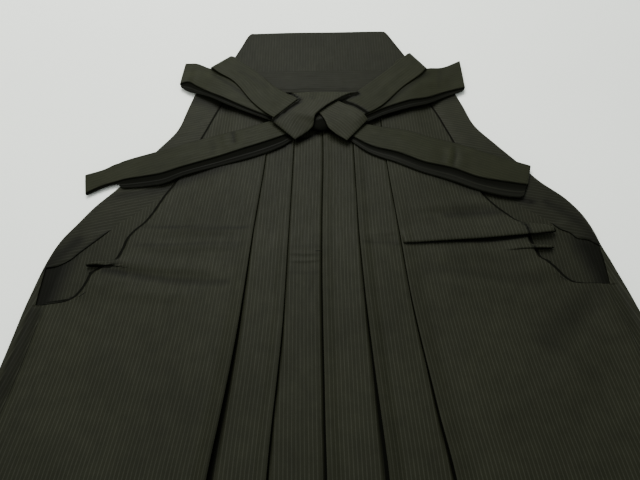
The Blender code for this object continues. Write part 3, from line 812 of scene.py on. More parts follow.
def makeBack(side):
    out = -1 if side == "left" else 1
    y = np.concatenate(([404.7, 404.2], rowPlaces(side)[1:]))
    y = np.concatenate((y[:2], np.arange(400, 374, -5.0), y[2:]))
    sheet = Cloth(y)
    floor = garment["wall"] / 2
    pitch = garment["pitch"]
    edge = backOutline.read(side, y)
    bottom = garment["slitBottom"][side]
    puff = backLook["puff"] * smooth(bottom + 24, bottom - 14, y)
    wide = stripWidth(side, y)
    look = backLook[side]
    opened = smooth(bottom - 3, bottom + 2, y) * smooth(*look["fade"], y)

    # painted shade in the hollow behind the rounded side fold
    def hollow(x):
        return 0.84 * opened * (1 - smooth(*look["dark"], np.abs(edge) - np.abs(x)))

    inside = out * garment["seam"] / 2
    for t in np.linspace(0, 1, backLook["columns"]):
        x = inside + (edge - out * 5 - inside) * t ** 0.62
        # the floor cloth gets the hollow's painted shade, the turned cloth's tone and the painted shadow
        # bands
        dark = shaded(np.maximum(hollow(x), look["tone"] * 0.6), look["shades"], x, y)
        sheet.add(x, floor, x, paintedShade=dark)
    turn = pitch / 2 + puff * 0.42
    reach, inset = turn * 1.25, backLook["inset"]
    for a in np.radians((-62, -36, -12, 12, 36, 62, 88)):
        x = edge - out * (reach * (1 - np.cos(a)) + inset)
        z = floor + turn * (1 + np.sin(a))
        # the rounded fold is painted darker toward its underside as shade
        sheet.add(x, z, x, paintedShade=0.5 * smooth(0.2, -0.9, a))
    slant = math.radians(backLook["turnSlant"])
    along = (math.sin(slant), math.cos(slant))
    above = y > look["rollTop"]
    rise, full, fall, gone = backLook["merged"]
    merged = smooth(rise, full, y) * smooth(fall, gone, y)
    fade = smooth(-200, -20, y) if side == "left" else 0.35 * smooth(-80, 30, y)
    for t in (0.06, 0.14, 0.22, 0.32, 0.42, 0.54, 0.66, 0.78, 0.88, 0.95, 1.0):
        inward = reach + inset + (wide - reach - inset) * t
        x = edge - out * inward
        unfoldU = np.where(above, out * x * along[0] + y * along[1], x * along[1] + out * y * along[0])
        unfoldV = np.where(above, x * along[1] - out * y * along[0], y * along[1] - out * x * along[0])
        roll = 2 * turn * smooth(9.5, 3.5, inward) + pitch * smooth(3.5, 9.5, inward)
        roll = roll - above * backLook["edgeFall"] * smooth(0.7, 1.0, t) * (1 - merged)
        roll = roll - above * backLook["mergedFall"] * smooth(0.35, 1.0, t) * merged
        dip = 0.7 * smooth(6, 11, inward) * smooth(19.5, 14, inward) * (y <= bottom)
        # painted shade where the roll meets the floor cloth, and a painted highlight on the roll below the
        # slit
        dark = 0.52 * smooth(5.0, 8.0, inward) * smooth(20.5, 18, inward) * smooth(bottom + 2, bottom - 6, y)
        dark = dark - 0.3 * smooth(6.5, 4.5, inward) * (y <= bottom)
        # the hollow's painted shade and the turned cloth's tone, then painted shadow bands
        deep = (0.9 - look["tone"]) * hollow(edge) * (1 - smooth(0, 34, inward))
        dark = np.maximum(dark * fade, (look["tone"] * smooth(300, 200, y) + deep) * above)
        dark = shaded(dark, look["shades"], x, y)
        # a painted shadow line along the turned edge
        dark = np.maximum(dark, 0.82 * above * (1 - merged) * (y < 200) * smooth(0.9, 1.0, t))
        sheet.add(x, floor + roll - dip, unfoldU, unfoldV, paintedShade=dark)
    points, uv, shows, paintedShade = sheet.grid()
    rings = shellRings(points, uv, paintedShade, garment["wall"])
    name = "back" + side.capitalize()
    return addPiece(name, ringMesh(name, *rings), cloth, ["back_" + side])


backs = {side: makeBack(side) for side in ("left", "right")}
print("back halves made")

# Gussets, folded inside each leg

gussetLook = {"wall": 0.9, "step": 14.0}


def makeGusset(side):
    out = -1 if side == "left" else 1
    g = garment
    y = np.append(np.arange(g["crotchY"] - 2, g["hemY"] + 3, -gussetLook["step"]), g["hemY"])
    sheet = Cloth(y)
    low, high = g["wall"] / 2 + g["pitch"], g["wall"] / 2 + 2 * g["pitch"]
    share = (g["crotchY"] - y) / (g["crotchY"] - g["hemY"])
    wide = g["gussetTop"] + (g["gussetHem"] - g["gussetTop"]) * share
    fold = out * wide + (12 if side == "right" else 0)
    middle = pleatEdges.read("centre", y)
    top = middle + (10 if side == "left" else 13)
    # the folded gusset is painted half in shade
    for t in np.linspace(0, 1, 8):
        x = out * 1.5 + (fold - out * 2.5) * t
        sheet.add(x, low, x, paintedShade=0.5)
    for a in np.radians((-60, -25, 0, 25, 60)):
        sheet.add(fold - out * 1.0 + out * np.cos(a), (low + high) / 2 + np.sin(a), fold, paintedShade=0.4)
    for t in np.linspace(0.05, 1, 8):
        x = fold - out * 1.0 + (top - fold + out * 1.0) * t
        sheet.add(x, high, x, paintedShade=0.5)
    points, uv, shows, paintedShade = sheet.grid()
    name = "gusset" + side.capitalize()
    rings = shellRings(points, uv, paintedShade, gussetLook["wall"])
    return addPiece(name, ringMesh(name, *rings), cloth, ["gusset_" + side])


gussets = {side: makeGusset(side) for side in ("left", "right")}
print("gussets made")

# Board and band

boardShape = Table(
    "y left right top",
    (405.0, -139.5, 139.5, 5.0), (409, -138.4, 138.2, 5.6), (440, -126, 125.4, 6.0),
    (468, -115.5, 113, 6.0), (484, -110, 106, 6.0), (490, -107, 103, 5.8),
    (493.3, -104.5, 100.5, 5.4), (495, -98, 94, 4.6),
)


def profileRings(rows, profile):
    # Rows of rings from a function that gives each point of one ring: x y z, u v and its painted shade.
    made = [profile(row) for row in rows]
    points = np.array([[p[:3] for p in ring] for ring in made], float)
    uv = np.array([[p[3:5] for p in ring] for ring in made], float)
    paintedShade = np.array([[p[5] for p in ring] for ring in made], float)
    return points, uv, paintedShade


boardLook = {
    "lip": 2.4,             # mm over which its sides are rounded
    "lipShade": 0.15,
    "thinned": 0.62,        # share of its height that the top edge loses
    "crown": 0.5,
    "wave": 0.25,
    "columns": 40,
}
halfTurn = [math.pi * k / 8 for k in range(9)]


def makeBoard():
    ys = [405.0, 405.5, 406.5, 408, 410, 413, *np.arange(417, 484, 5.0)]
    ys += [484, 487, 489, 490.6, 492, 493.2, 494.2, 494.8, 495.0]
    look = boardLook
    lip, shade, inner = look["lip"], look["lipShade"], 0.96

    def profile(y):
        left, right, top = (float(boardShape.read(c, y)) for c in ("left", "right", "top"))
        ends = 1 - smooth(493.6, 495.0, y) * look["thinned"]
        half, middle = (right - left) / 2, (right + left) / 2
        top = top * ends + 1.0 * (1 - ends)
        ring = []
        for a in halfTurn:
            x = right - lip + lip * math.sin(a)
            ring.append((x, y, top / 2 - top / 2 * math.cos(a), right, y, shade))
        for t in np.linspace(inner, -inner, look["columns"]):
            x = middle + t * (half - lip)
            crown = look["crown"] * (1 - t * t) + look["wave"] * math.sin(x * 0.05 + y * 0.02)
            ring.append((x, y, top + crown, x, y, 0.0))
        for a in halfTurn:
            x = left + lip - lip * math.sin(a)
            ring.append((x, y, top / 2 + top / 2 * math.cos(a), left, y, shade))
        for t in np.linspace(-inner, inner, look["columns"]):
            x = middle + t * (half - lip)
            ring.append((x, y, 0.0, x, y, 0.0))
        return ring

    mesh = ringMesh("backBoard", *profileRings(ys, profile))
    return addPiece("backBoard", mesh, boardCloth, ["back_board"])


bandShape = Table(
    "x low high under",
    (-139, 365, 404.2, 4.6), (-122, 364.4, 404.2, 5.2), (-104, 363.8, 404.2, 7.5),
    (0, 361.5, 404.0, 7.5), (112, 358, 402.6, 7.5), (126, 357.5, 402.2, 5.2),
    (139, 357, 401.8, 4.6),
)
bandLook = {
    "halfLength": 139,
    "thick": 2.8,
    "thinned": 1.3,         # how much thinner its lower edge is
    "lip": 1.4,
    "crown": 0.35,
    "puckers": (
        (0.35, 8, 9, ((-60, 402), (-52, 380), (-56, 364))),
        (0.3, 7, 9, ((24, 402), (30, 384), (28, 362))),
        (-0.3, 9, 7, ((84, 400), (78, 380), (80, 360))),
    ),
}


def makeBand():
    look = bandLook
    thick, lip, turns = look["thick"], look["lip"], [math.pi * k / 6 for k in range(7)]
    shares = np.linspace(0.03, 0.97, 16)

    def profile(x):
        low, high, under = (float(bandShape.read(c, x)) for c in ("low", "high", "under"))
        places = [(t, low + lip + (high - low - 2 * lip) * t) for t in shares]
        ring = []
        for a in turns:
            side = (thick - look["thinned"]) / 2
            ring.append((x, low + lip - lip * math.sin(a), under + side - side * math.cos(a), low, x, 0))
        for t, y in places:
            rise = look["crown"] * math.sin(math.pi * t) + float(relief(look["puckers"], x, y))
            rise -= look["thinned"] * smooth(0.16, 0.0, t)
            ring.append((x, y, under + thick + rise, y, x, 0))
        for a in turns:
            z = under + thick / 2 + thick / 2 * math.cos(a)
            ring.append((x, high - lip + lip * math.sin(a), z, high, x, 0))
        for t, y in reversed(places):
            ring.append((x, y, under, y, x, 0))
        return ring

    columns = np.linspace(-look["halfLength"], look["halfLength"], 94)
    mesh = ringMesh("waistBand", *profileRings(columns, profile))
    return addPiece("waistBand", mesh, bandCloth, ["waist_band"])


makeBoard()
waistBand = makeBand()
print("board and band made")

# Ties: folded in layers, one solid each, stepped along the side where the lower layer shows

foldedColumns = "edgeX edgeY upperX upperY lowerX lowerY under"
# low is how dark the lower layer is painted as shade; shades are painted shadow (+) and painted highlight (-)
# bands
ties = {
    "frontTieArmLeft": {
        "node": "front_tie_arm_left", "low": 0.9,
        "sections": (
            (-196, 427, -199, 386, -197, 381, 3.9), (-184, 427, -189, 389, -187, 373, 4.1),
            (-161, 415, -173, 378, -173, 366, 5.9), (-140, 402, -154, 363, -151, 354, 9.3),
            (-120, 390, -134, 351, -131, 341, 10.7), (-78, 364, -98, 329, -95, 321, 11.3),
            (-48, 347, -66, 312, -64, 306, 12.0), (-22, 335, -36, 302, -35, 295, 12.0),
        ),
        "creases": ((0.8, 7, 10, ((-176, 418), (-178, 400), (-184, 382))),
                    (0.5, 12, 10, ((-190, 398), (-150, 384), (-110, 360)))),
        "shades": ((0.5, 6, 3, ((-160, 404), (-118, 366), (-80, 328))),
                   (-0.2, 9, 9, ((-196, 402), (-172, 404), (-150, 396)))),
    },
    "frontTieArmRight": {
        "node": "front_tie_arm_right", "low": 0.9,
        "sections": (
            (204, 423, 203, 369, 200, 364, 3.9), (176, 408.3, 172, 359, 172, 351, 4.7),
            (153, 403, 146, 346, 146, 336, 8.3), (128, 385, 120, 339, 117, 326, 10.7),
            (100, 368, 88, 326, 85, 314, 11.3), (72, 352, 60, 311, 58, 300, 12.0),
            (25, 338, 35, 301, 34, 294, 12.0),
        ),
        "creases": ((0.6, 10, 12, ((176, 400), (172, 380), (170, 358))),
                    (0.5, 10, 12, ((196, 392), (150, 372), (110, 352)))),
        "shades": ((0.5, 6, 3, ((160, 400), (110, 354), (70, 316))),
                   (1.0, 10, 10, ((70, 360), (30, 336), (6, 316))),
                   (0.25, 5, 5, ((172, 402), (168, 384), (164, 362)))),
    },
    "frontTieTailLeft": {
        "node": "front_tie_tail_left", "low": 0.92,
        "sections": (
            (-298.5, 226.5, -292, 198.5, -291, 196.5, 2.6), (-276, 234, -271, 210, -270, 208, 3.4),
            (-262, 242.5, -256, 215, -255, 212.5, 3.6), (-258, 244, -252, 216.5, -249, 207, 3.7),
            (-255, 246, -248, 218, -245, 206, 3.7), (-214, 261, -205, 226, -202, 210, 4.1),
            (-187, 270, -177, 236, -173, 223, 4.9), (-151, 282, -139, 249, -136, 235, 5.2),
            (-106, 294, -96, 264, -92, 247, 7.5), (-68, 308, -56, 280, -52, 265, 7.5),
            (-42, 316, -31, 292, -30, 283, 7.5),
        ),
        "creases": ((-1.0, 5, 6, ((-116, 294), (-115, 282), (-112, 264))),
                    (0.6, 8, 7, ((-128, 292), (-126, 278), (-122, 262))),
                    (0.6, 8, 8, ((-102, 296), (-100, 282), (-98, 266))),
                    (0.6, 14, 14, ((-240, 232), (-190, 246), (-140, 262)))),
        "shades": ((0.62, 4, 4, ((-117, 295), (-115, 284), (-113, 270))),
                   (0.3, 7, 7, ((-146, 281), (-139, 266), (-140, 252))),
                   (1.0, 9, 9, ((-34, 320), (-38, 300), (-30, 280)))),
    },
    "frontTieTailRight": {
        "node": "front_tie_tail_right", "low": 0.8,
        "sections": (
            (40, 308, 29, 290, 28, 283, 7.5), (60, 300, 44, 277, 42, 269, 7.5),
            (82, 294, 66, 262, 63, 251, 7.5), (111, 288, 98, 251, 94, 236, 7.5),
            (141, 276, 131, 235, 126, 220, 6.7), (174, 266, 162, 227, 159, 208, 5.2),
            (208, 251, 196, 211, 191, 193, 4.9), (246, 235, 233, 203, 223, 183, 4.1),
            (258, 230, 248, 200, 240, 181, 4.0), (263, 228, 253, 199, 245, 184, 3.9),
        ),
        "creases": ((-1.1, 3.5, 4, ((173, 264), (170, 244), (163, 222))),
                    (0.9, 5, 9, ((166, 264), (163, 244), (156, 226))),
                    (0.6, 12, 6, ((182, 258), (178, 240), (170, 220))),
                    (0.6, 12, 14, ((88, 274), (130, 258), (160, 246))),
                    (0.5, 8, 8, ((60, 288), (84, 278), (112, 272)))),
        "shades": ((0.45, 2, 2.5, ((174, 262), (170, 244), (163, 224))),
                   (-0.22, 6, 4, ((167, 264), (163, 244), (156, 226))),
                   (1.0, 7, 7, ((42, 304), (38, 296), (28, 284)))),
    },
}
tieLook = {"rowStep": 3.0, "layer": 1.8, "ply": 0.9, "notch": 0.5}


def alongPath(sections, columns, step, places=("edgeX", "edgeY")):
    # Reads the sections at even steps along their first edge.
    names = columns.split()
    values = np.array(sections, float)
    xy = values[:, [names.index(n) for n in places]]
    run = np.concatenate(([0.0], np.cumsum(np.hypot(*np.diff(xy, axis=0).T))))
    table = Table("run " + columns, *[(r, *row) for r, row in zip(run, values)])
    last = run[-1]
    ends = np.array((0, 0.35, 1.0, 2.0))
    between = np.linspace(3, last - 3, int(last / step) + 1)
    at = np.unique(np.concatenate((ends, between, last - ends)))
    return at, {name: table.read(name, at) for name in names}


def tieProfile(a, b, c, under, ends, v, tie):
    # One ring across a folded tie: flat below, plies along both edges, soft on top.
    low = tie["low"]
    layer, ply, notch = (tieLook[name] for name in ("layer", "ply", "notch"))
    width, widthLow = np.linalg.norm(b - a), np.linalg.norm(c - a)
    across, down = (b - a) / width, (c - a) / widthLow
    ring = []

    def put(base, way, q, z, paintedShade=0.0):
        p = base + way * q
        ring.append((p[0], p[1], under + layer + (z - layer) * ends, q, v, paintedShade))

    def plies(base, way, q, bottom, count, sign, between, face):
        # sign +1 puts bulges outward along way at q, climbing; -1 comes down the other side
        # the notches are painted fully dark as shade; between and face are the painted shade of the rest and
        # of the faces
        bulge = (
            (0.04, notch, 1.0), (0.25, 0.08, between), (0.5, 0.0, face), (0.75, 0.08, face),
            (0.96, notch, 1.0),
        )
        for n in range(count)[::sign]:
            for up, back, dark in bulge[::sign]:
                put(base, way, q - sign * back, bottom + n * ply + up * ply, dark)

    for t in (0.12, 0.3, 0.5, 0.7, 0.88):
        put(a, down, widthLow * t, 0.0)
    plies(a, down, widthLow, 0.0, 2, 1, 0.85, 0.5)
    step = np.linalg.norm(b - c)
    # painted shade on the lower layer's step, set by the tie's low
    lowShades = ((0.1, low - 0.05), (0.34, low + 0.03), (0.42, low - 0.18), (0.5, low + 0.04), (0.9, 1.0))
    for t, dark in lowShades:
        put(c, (b - c) / max(step, 1e-6), step * t, layer - 0.1, dark)
    plies(a, across, width, layer, 2, 1, 0.5, 0.0)
    for t in np.linspace(0.97, 0.03, 16):
        p = a + across * width * t
        soft = 0.35 * math.sin(math.pi * t) + float(relief(tie["creases"], p[0], p[1]))
        dark = float(shaded(0.0, tie["shades"], p[0], p[1]))
        put(a, across, width * t, 2 * layer + soft * min(t, 1 - t, 0.12) / 0.12, dark)
    plies(a, across, 0.0, 0.0, 4, -1, 0.3, 0.1)
    return ring


def makeTie(name, tie):
    at, s = alongPath(tie["sections"], foldedColumns, tieLook["rowStep"])
    last = at[-1]

    def profile(i):
        a = np.array((s["edgeX"][i], s["edgeY"][i]))
        b = np.array((s["upperX"][i], s["upperY"][i]))
        c = np.array((s["lowerX"][i], s["lowerY"][i]))
        near = min(at[i], last - at[i])
        ends = math.sqrt(max(1 - (1 - min(near / 1.8, 1)) ** 2, 0.05))
        return tieProfile(a, b, c, s["under"][i], ends, at[i], tie)

    mesh = ringMesh(name, *profileRings(range(len(at)), profile))
    return addPiece(name, mesh, tieCloth, [tie["node"]])


tiePieces = {name: makeTie(name, tie) for name, tie in ties.items()}
print("front ties made")

ribbonColumns = "firstX firstY firstZ secondX secondY secondZ crown"
# shades are painted shadow and shade bands on the upper face
ribbons = {
    "backTieLeft": {
        "node": "back_tie_left", "thick": 1.6,
        "sections": (
            (-121, 405, 8.4, -108, 415, 8.4, 0), (-134, 409, 8.4, -114, 425, 8.4, 0),
            (-150, 409, 9.2, -125, 431, 9.2, 0), (-156, 410, 12.5, -129, 434, 12.5, 0),
            (-152, 406, 16.0, -122, 428, 16.0, 0), (-146, 399.5, 16.3, -113, 418, 16.3, 0),
            (-121, 379, 16.3, -89, 396, 16.3, 0.3), (-92, 337, 16.9, -61, 364, 16.9, 0.3),
            (-78, 321, 17.6, -45, 350, 18.6, 0.3), (-67, 310, 19.0, -35, 341.5, 21.0, 0.2),
            (-62, 306, 19.2, -30.5, 336.5, 21.4, 0),
        ),
        "creases": ((0.6, 6, 8, ((-128, 404), (-104, 378), (-76, 352))),),
        "shades": ((0.25, 5, 5, ((-118, 400), (-96, 384), (-70, 362))),),
    },
    "backTieRight": {
        "node": "back_tie_right", "thick": 1.6,
        "sections": (
            (106, 414, 8.4, 120, 404, 8.4, 0), (112, 425, 8.4, 132, 406, 8.4, 0),
            (125, 431, 9.2, 147, 403, 9.2, 0), (131, 434, 12.5, 152, 401, 12.5, 0),
            (125, 427, 16.0, 148, 395, 16.0, 0), (117, 418, 16.3, 143, 388.5, 16.3, 0),
            (91, 392, 16.3, 114, 362, 16.3, 0.3), (55, 358, 16.9, 80, 325, 16.9, 0.3),
            (27, 335.5, 16.9, 57, 310, 16.9, 0.3),
        ),
        "creases": ((0.6, 8, 6, ((132, 408), (104, 380), (70, 344))),),
        "shades": ((1.7, 7, 7, ((55, 351), (44, 346.5), (34, 341), (22, 336))),
                   (1.8, 5, 4.4, ((24, 338.5), (29.5, 336), (35, 332.5), (44.3, 327.7), (54.4, 319.7),
                                  (66, 308.5)))),
    },
    "knotWrapLeft": {
        "node": "knot_wrap_left", "thick": 2.0,
        "sections": (
            (-40, 355, 14.3, 47, 353, 14.3, 1), (-36, 348, 18.4, 40, 347, 19.9, 0.7),
            (-37, 340, 18.4, 26, 336.5, 22.7, 1.1), (-42, 331, 18.2, 6.5, 321.5, 22.9, 1.1),
            (-52, 323, 17.9, -8, 304.5, 22.1, 1.1), (-60, 315, 17.7, -10, 293, 17.0, 1.4),
            (-64, 308, 17.4, -22, 281, 14.1, 1.3), (-65, 303, 15.8, -34, 272, 13.7, 0.7),
        ),
        "creases": ((-1.1, 3, 4, ((-9, 352), (-8, 343), (-9, 332))),
                    (0.7, 5, 5, ((-16, 350), (-18, 340), (-26, 326))),
                    (0.7, 6, 5, ((2, 350), (0, 340), (-6, 326))),
                    (0.4, 8, 8, ((-24, 322), (-34, 308), (-44, 294)))),
        "shades": ((1.7, 4.2, 6.5, ((-66, 300), (-60, 306.5), (-52, 313.5), (-44, 320), (-35, 327.5),
                                    (-26, 335.5))),
                   (1.5, 4.4, 4.4, ((-25, 332), (-31, 340.5), (-38, 347.5), (-47, 357))),
                   (0.5, 3, 4, ((-8, 350), (-10, 342), (-9, 334))),
                   (0.6, 7, 4, ((-40, 264), (-30, 272), (-17, 279), (2, 292)))),
    },
    "knotWrapRight": {
        "node": "knot_wrap_right", "thick": 2.0,
        "sections": (
            (16, 339, 16.7, -10, 321, 17.6, 0), (25, 333, 19.3, -1, 311, 19.1, 0.2),
            (36, 325.3, 19.7, 5, 300, 18.9, 0.5), (48, 317, 19.7, 9, 289, 17.7, 0.6),
            (57, 309, 18.9, 19, 279, 15.3, 0.6), (62, 303, 15.5, 33, 269, 13.5, 0.2),
        ),
        "creases": ((0.5, 6, 8, ((10, 326), (24, 312), (38, 294))),
                    (-0.6, 3, 3, ((2, 300), (14, 300), (26, 296)))),
        "shades": ((0.7, 9, 4, ((-2, 292), (5, 287), (16, 280), (36, 270))),),
    },
}


# half a round edge: how far in and how high it is, and the painted shade line between the two layers
ribbonEdge = (
    (1.4, 1.0, 0), (0.45, 0.8, 0), (0.05, 0.5, 0), (0.3, 0.2, 0.3), (0.8, 0.0, 0.9),
    (0.3, -0.2, 0.3), (0.05, -0.5, 0), (0.45, -0.8, 0), (1.4, -1.0, 0),
)
ribbonLook = {"rowStep": 2.2, "columns": 14, "rim": 0.08, "leastLift": -0.9}


def makeRibbon(name, ribbon):
    # A doubled band between two edges, each with its own height.
    look = ribbonLook
    at, s = alongPath(ribbon["sections"], ribbonColumns, look["rowStep"], ("firstX", "firstY"))
    first = np.stack((s["firstX"], s["firstY"], s["firstZ"]), axis=-1)
    second = np.stack((s["secondX"], s["secondY"], s["secondZ"]), axis=-1)
    middle = (first + second) / 2
    run = np.concatenate(([0.0], np.cumsum(np.linalg.norm(np.diff(middle, axis=0), axis=1))))
    along = bisector(middle[:, None], 0)[:, 0]
    half = ribbon["thick"] / 2
    shares = np.linspace(look["rim"], 1 - look["rim"], look["columns"])

    def profile(i):
        p, q = first[i], second[i]
        width = np.linalg.norm(q - p)
        across = (q - p) / width
        up = -np.cross(across, along[i])
        up = up / np.linalg.norm(up)
        near = min(i, len(at) - 1 - i)
        ends = (0.3, 0.7, 0.9)[near] if near < 3 else 1.0
        ring = []

        def put(t, h, paintedShade=0.0):
            crown = s["crown"][i] * (1 - (2 * t - 1) ** 2)
            point = p + across * width * t + up * (crown + h * ends)
            lift = 0.0
            # painted shadow bands and creases go on the upper face
            if h > 0:
                paintedShade = float(shaded(paintedShade, ribbon["shades"], point[0], point[1]))
                lift = float(relief(ribbon["creases"], point[0], point[1])) * min(t, 1 - t, 0.1) / 0.1
            ring.append((*point[:2], point[2] + max(lift, look["leastLift"]), width * t, run[i], paintedShade))

        for inward, h, paintedShade in ribbonEdge:
            put(1 - inward / width, h * half, paintedShade)
        for t in shares[::-1]:
            put(t, -half)
        for inward, h, paintedShade in ribbonEdge:
            put(inward / width, -h * half, paintedShade)
        for t in shares:
            put(t, half)
        return ring

    points, uv, paintedShade = profileRings(range(len(at)), profile)
    # the ring starts at the middle of one edge, so that its caps lie across the band
    points, uv, paintedShade = (np.roll(values, -4, axis=1) for values in (points, uv, paintedShade))
    material = wrapCloth if "Wrap" in name else tieCloth
    return addPiece(name, ringMesh(name, points, uv, paintedShade), material, [ribbon["node"]])


ribbonPieces = {name: makeRibbon(name, ribbon) for name, ribbon in ribbons.items()}
print("back ties and wraps made")

coreShape = Table("z radius", (7.5, 20), (9.3, 23), (12, 24), (15, 21), (17.4, 9))
# the core is painted almost black as shade, with one painted highlight (lit) on its nub
coreLook = {
    "bottom": 7.5, "height": 9.9, "middleY": 313, "rows": 12, "columns": 48,
    "paintedShade": 0.96,
    "lit": ((-0.4, 5, 5, ((-9, 303), (-6, 306), (2, 309))),),
}


def makeCore():
    look = coreLook
    rows, columns = look["rows"], look["columns"]

    def profile(k):
        z = look["bottom"] + look["height"] * math.sin(math.pi / 2 * k / rows)
        radius = float(coreShape.read("radius", z)) * (1 - 0.2 * smooth(rows - 1, rows, k))
        ring = []
        for j in range(columns):
            a = 2 * math.pi * j / columns
            wrinkle = 1 + 0.03 * math.sin(3 * a) + 0.02 * math.sin(7 * a + z)
            x, y = radius * wrinkle * math.cos(a), look["middleY"] + radius * wrinkle * math.sin(a)
            dark = float(shaded(look["paintedShade"], look["lit"], x, y))
            ring.append((x, y, z, x + y * 0.6, y, dark))
        return ring

    mesh = ringMesh("knotCore", *profileRings(range(rows + 1), profile))
    return addPiece("knotCore", mesh, wrapCloth, ["knot_core"])


knotCore = makeCore()
print("knot made")

# Stitches: blind pricks beside the slits and above the hem, and bars where the seams are held

stitchLook = {
    "thread": (0.0125, 0.0130, 0.0085, 1),
    "barThread": (0.0060, 0.0064, 0.0045, 1),
    "slitInset": 5.0, "slitStep": 9.0, "slitTop": 236.0,
    "hemUp": 26.0, "hemStep": 14.0,
    "prick": (2.0, 0.42),   # mm long and thick
    "bar": (2.6, 0.8),
    "barStep": 1.6,
    "bars": {
        "left": ((-8.4, 109.4, -3.0, 109.7), (-268, 61.5, -263, 65.5)),
        "right": ((262, 75, 266.5, 71),),
    },
}


def threadMaterial(name, colour):
    board = Board(name)
    place = board.node("ShaderNodeTexCoord", output=3)
    twist = board.noise(place, 900.0, 2.0)
    shade = twist.ease(0.3, 0.7, 0.8, 1.2)
    return board.finish(board.node("ShaderNodeBsdfPrincipled", {}, {
        "Base Color": board.dim(colour[:3], shade),
        "Roughness": twist.ease(0.2, 0.8, 0.5, 0.65),
        "Specular IOR Level": 0.1,
    }))


def stitchTree():
    tree = bpy.data.node_groups.new("stitchRow", "GeometryNodeTree")
    kinds = {"Path": "Geometry", "Spacing": "Float", "Size": "Vector", "Thread": "Material"}
    for name, kind in kinds.items():
        tree.interface.new_socket(name, in_out="INPUT", socket_type="NodeSocket" + kind)
    tree.interface.new_socket("Stitches", in_out="OUTPUT", socket_type="NodeSocketGeometry")
    board = Board("stitchRow", tree)
    given = [board.node("NodeGroupInput", output=n) for n in range(4)]
    curve = board.node("GeometryNodeMeshToCurve", {}, {"Mesh": given[0]})
    row = board.node("GeometryNodeResampleCurve", {"mode": "LENGTH"}, {"Curve": curve, "Length": given[1]})
    ball = board.node("GeometryNodeMeshUVSphere", {}, {"Segments": 8, "Rings": 5, "Radius": 0.5})
    tangent = board.node("GeometryNodeInputTangent")
    way = board.node("FunctionNodeAlignRotationToVector", {"axis": "X"}, {"Vector": tangent})
    vary = board.node("FunctionNodeRandomValue", {"data_type": "FLOAT"}, {2: 0.85, 3: 1.15, "Seed": 7}, 1)
    size = board.node("ShaderNodeVectorMath", {"operation": "SCALE"}, {0: given[2], 3: vary})
    placed = {"Points": row, "Instance": ball, "Rotation": way, "Scale": size}
    made = board.node("GeometryNodeInstanceOnPoints", {}, placed)
    real = board.node("GeometryNodeRealizeInstances", {}, {"Geometry": made})
    done = board.node("GeometryNodeSetMaterial", {}, {"Geometry": real, "Material": given[3]})
    board.node("NodeGroupOutput", {}, {0: done})
    return tree


stitchRow = stitchTree()
prickThread = threadMaterial("prickThread", stitchLook["thread"])
barThread = threadMaterial("barThread", stitchLook["barThread"])


def surfacePath(bvh, way):
    # Points of a path set down on a piece from above.
    points = []
    for x, y in way:
        hit = bvh.ray_cast(Vector((x * mm, y * mm, 0.1)), Vector((0, 0, -1)))[0]
        if hit is not None:
            points.append((x * mm, y * mm, hit.z + 0.00005))
    return points


def stitchPiece(name, paths, spacing, size, thread):
    points, edges = [], []
    for path in paths:
        start = len(points)
        points += path
        edges += [(start + n, start + n + 1) for n in range(len(path) - 1)]
    mesh = bpy.data.meshes.new(name)
    mesh.from_pydata(points, edges, [])
    line = bpy.data.objects.new(name, mesh)
    bpy.context.scene.collection.objects.link(line)
    sewn = line.modifiers.new("stitchRow", "NODES")
    sewn.node_group = stitchRow
    ids = {item.name: item.identifier for item in stitchRow.interface.items_tree if item.in_out == "INPUT"}
    sewn[ids["Spacing"]] = spacing * mm
    sewn[ids["Size"]] = (size[0] * mm, size[1] * mm, size[1] * mm)
    sewn[ids["Thread"]] = thread
    view = bpy.context.evaluated_depsgraph_get()
    made = bpy.data.meshes.new_from_object(line.evaluated_get(view))
    line.modifiers.clear()
    line.data = made
    made.polygons.foreach_set("use_smooth", [True] * len(made.polygons))
    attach(line, "root")
    return line


def sewFront(side):
    look = stitchLook
    out = -1 if side == "left" else 1
    mesh = fronts[side].data
    bvh = BVHTree.FromPolygons([v.co for v in mesh.vertices], [p.vertices for p in mesh.polygons])
    slitYs = np.arange(garment["slitBottom"][side] + 6, look["slitTop"], 4.0)
    slitWay = [(float(slitEdge.read(side, y)) - out * look["slitInset"], y) for y in slitYs]
    hemY = garment["hemY"] + look["hemUp"]
    hemWay = [(out * x, hemY) for x in np.arange(14, abs(float(frontEdge(side, hemY))) - 6, 7.0)]
    barWays = [np.linspace(bar[:2], bar[2:], 5) for bar in look["bars"][side]]
    kinds = {
        "slitStitches": ([slitWay], look["slitStep"], look["prick"], prickThread),
        "hemStitches": ([hemWay], look["hemStep"], look["prick"], prickThread),
        "barTacks": (barWays, look["barStep"], look["bar"], barThread),
    }
    return [
        stitchPiece(name + side.capitalize(), [surfacePath(bvh, way) for way in ways], *how)
        for name, (ways, *how) in kinds.items()
    ]


stitches = {side: sewFront(side) for side in ("left", "right")}
print("stitches made")
# Floor, light and camera

stageLook = {
    "floorSize": 3.0,       # metres from the middle to each side
    "floorZ": -0.0002,      # just under the cloth
    "floorColour": (0.785, 0.82, 0.74, 1),
    "worldColour": (0.93, 0.97, 1.0, 1),
    "worldStrength": 0.66,
    "lights": (
        {"name": "softTop", "place": (-0.22, 1.2, 1.4), "aim": (0, 0.1, 0), "size": 1.2, "power": 53},
        {"name": "fill", "place": (-0.9, -0.2, 1.6), "aim": (0, 0.1, 0), "size": 1.5, "power": 10},
    ),
    "cameraPlace": (-0.004, -0.166, 0.505),
    "lens": 28.125,
    "down": 59.68,          # degrees below the horizon
    "roll": 1.0,
}


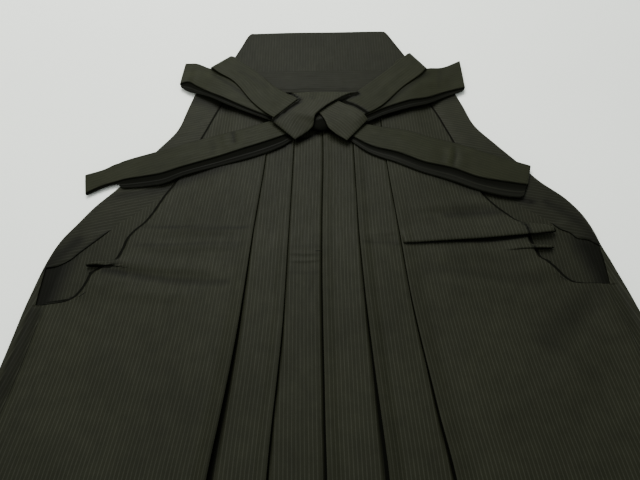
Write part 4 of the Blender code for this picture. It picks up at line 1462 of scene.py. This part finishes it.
def makeFloor():
    board = Board("paleFloor")
    place = board.node("ShaderNodeTexCoord", output=3)
    soft = board.noise(place, 3.0, 2.0).ease(0.3, 0.7, 0.985, 1.015)
    colour = board.dim(stageLook["floorColour"][:3], soft)
    shader = board.node("ShaderNodeBsdfPrincipled", {}, {"Base Color": colour, "Roughness": 0.9})
    half, z = stageLook["floorSize"], stageLook["floorZ"]
    corners = [(-half, -half, z), (half, -half, z), (half, half, z), (-half, half, z)]
    mesh = bpy.data.meshes.new("floor")
    mesh.from_pydata(corners, [], [(0, 1, 2, 3)])
    mesh.materials.append(board.finish(shader))
    floor = bpy.data.objects.new("floor", mesh)
    bpy.context.scene.collection.objects.link(floor)


def aimAt(place, target):
    direction = np.array(target) - np.array(place)
    z = -direction / np.linalg.norm(direction)
    x = np.cross((0, 1, 0), z)
    x = x / np.linalg.norm(x)
    turn = Matrix((x, np.cross(z, x), z)).transposed().to_4x4()
    return Matrix.Translation(place) @ turn


def makeLights():
    for item in stageLook["lights"]:
        data = bpy.data.lights.new(item["name"], "AREA")
        data.shape = "DISK"
        data.size = item["size"]
        data.energy = item["power"]
        light = bpy.data.objects.new(item["name"], data)
        light.matrix_world = aimAt(item["place"], item["aim"])
        bpy.context.scene.collection.objects.link(light)
    world = bpy.data.worlds.new("studio")
    world.use_nodes = True
    background = world.node_tree.nodes["Background"]
    background.inputs["Color"].default_value = stageLook["worldColour"]
    background.inputs["Strength"].default_value = stageLook["worldStrength"]
    bpy.context.scene.world = world


def makeCamera():
    data = bpy.data.cameras.new("camera")
    data.lens = stageLook["lens"]
    data.sensor_width = 36
    data.clip_start = 0.01
    camera = bpy.data.objects.new("camera", data)
    tilt = Matrix.Rotation(math.radians(90 - stageLook["down"]), 4, "X")
    roll = Matrix.Rotation(math.radians(-stageLook["roll"]), 4, "Z")
    camera.matrix_world = Matrix.Translation(stageLook["cameraPlace"]) @ tilt @ roll
    bpy.context.scene.collection.objects.link(camera)
    bpy.context.scene.camera = camera


makeFloor()
makeLights()
makeCamera()
print("stage made")
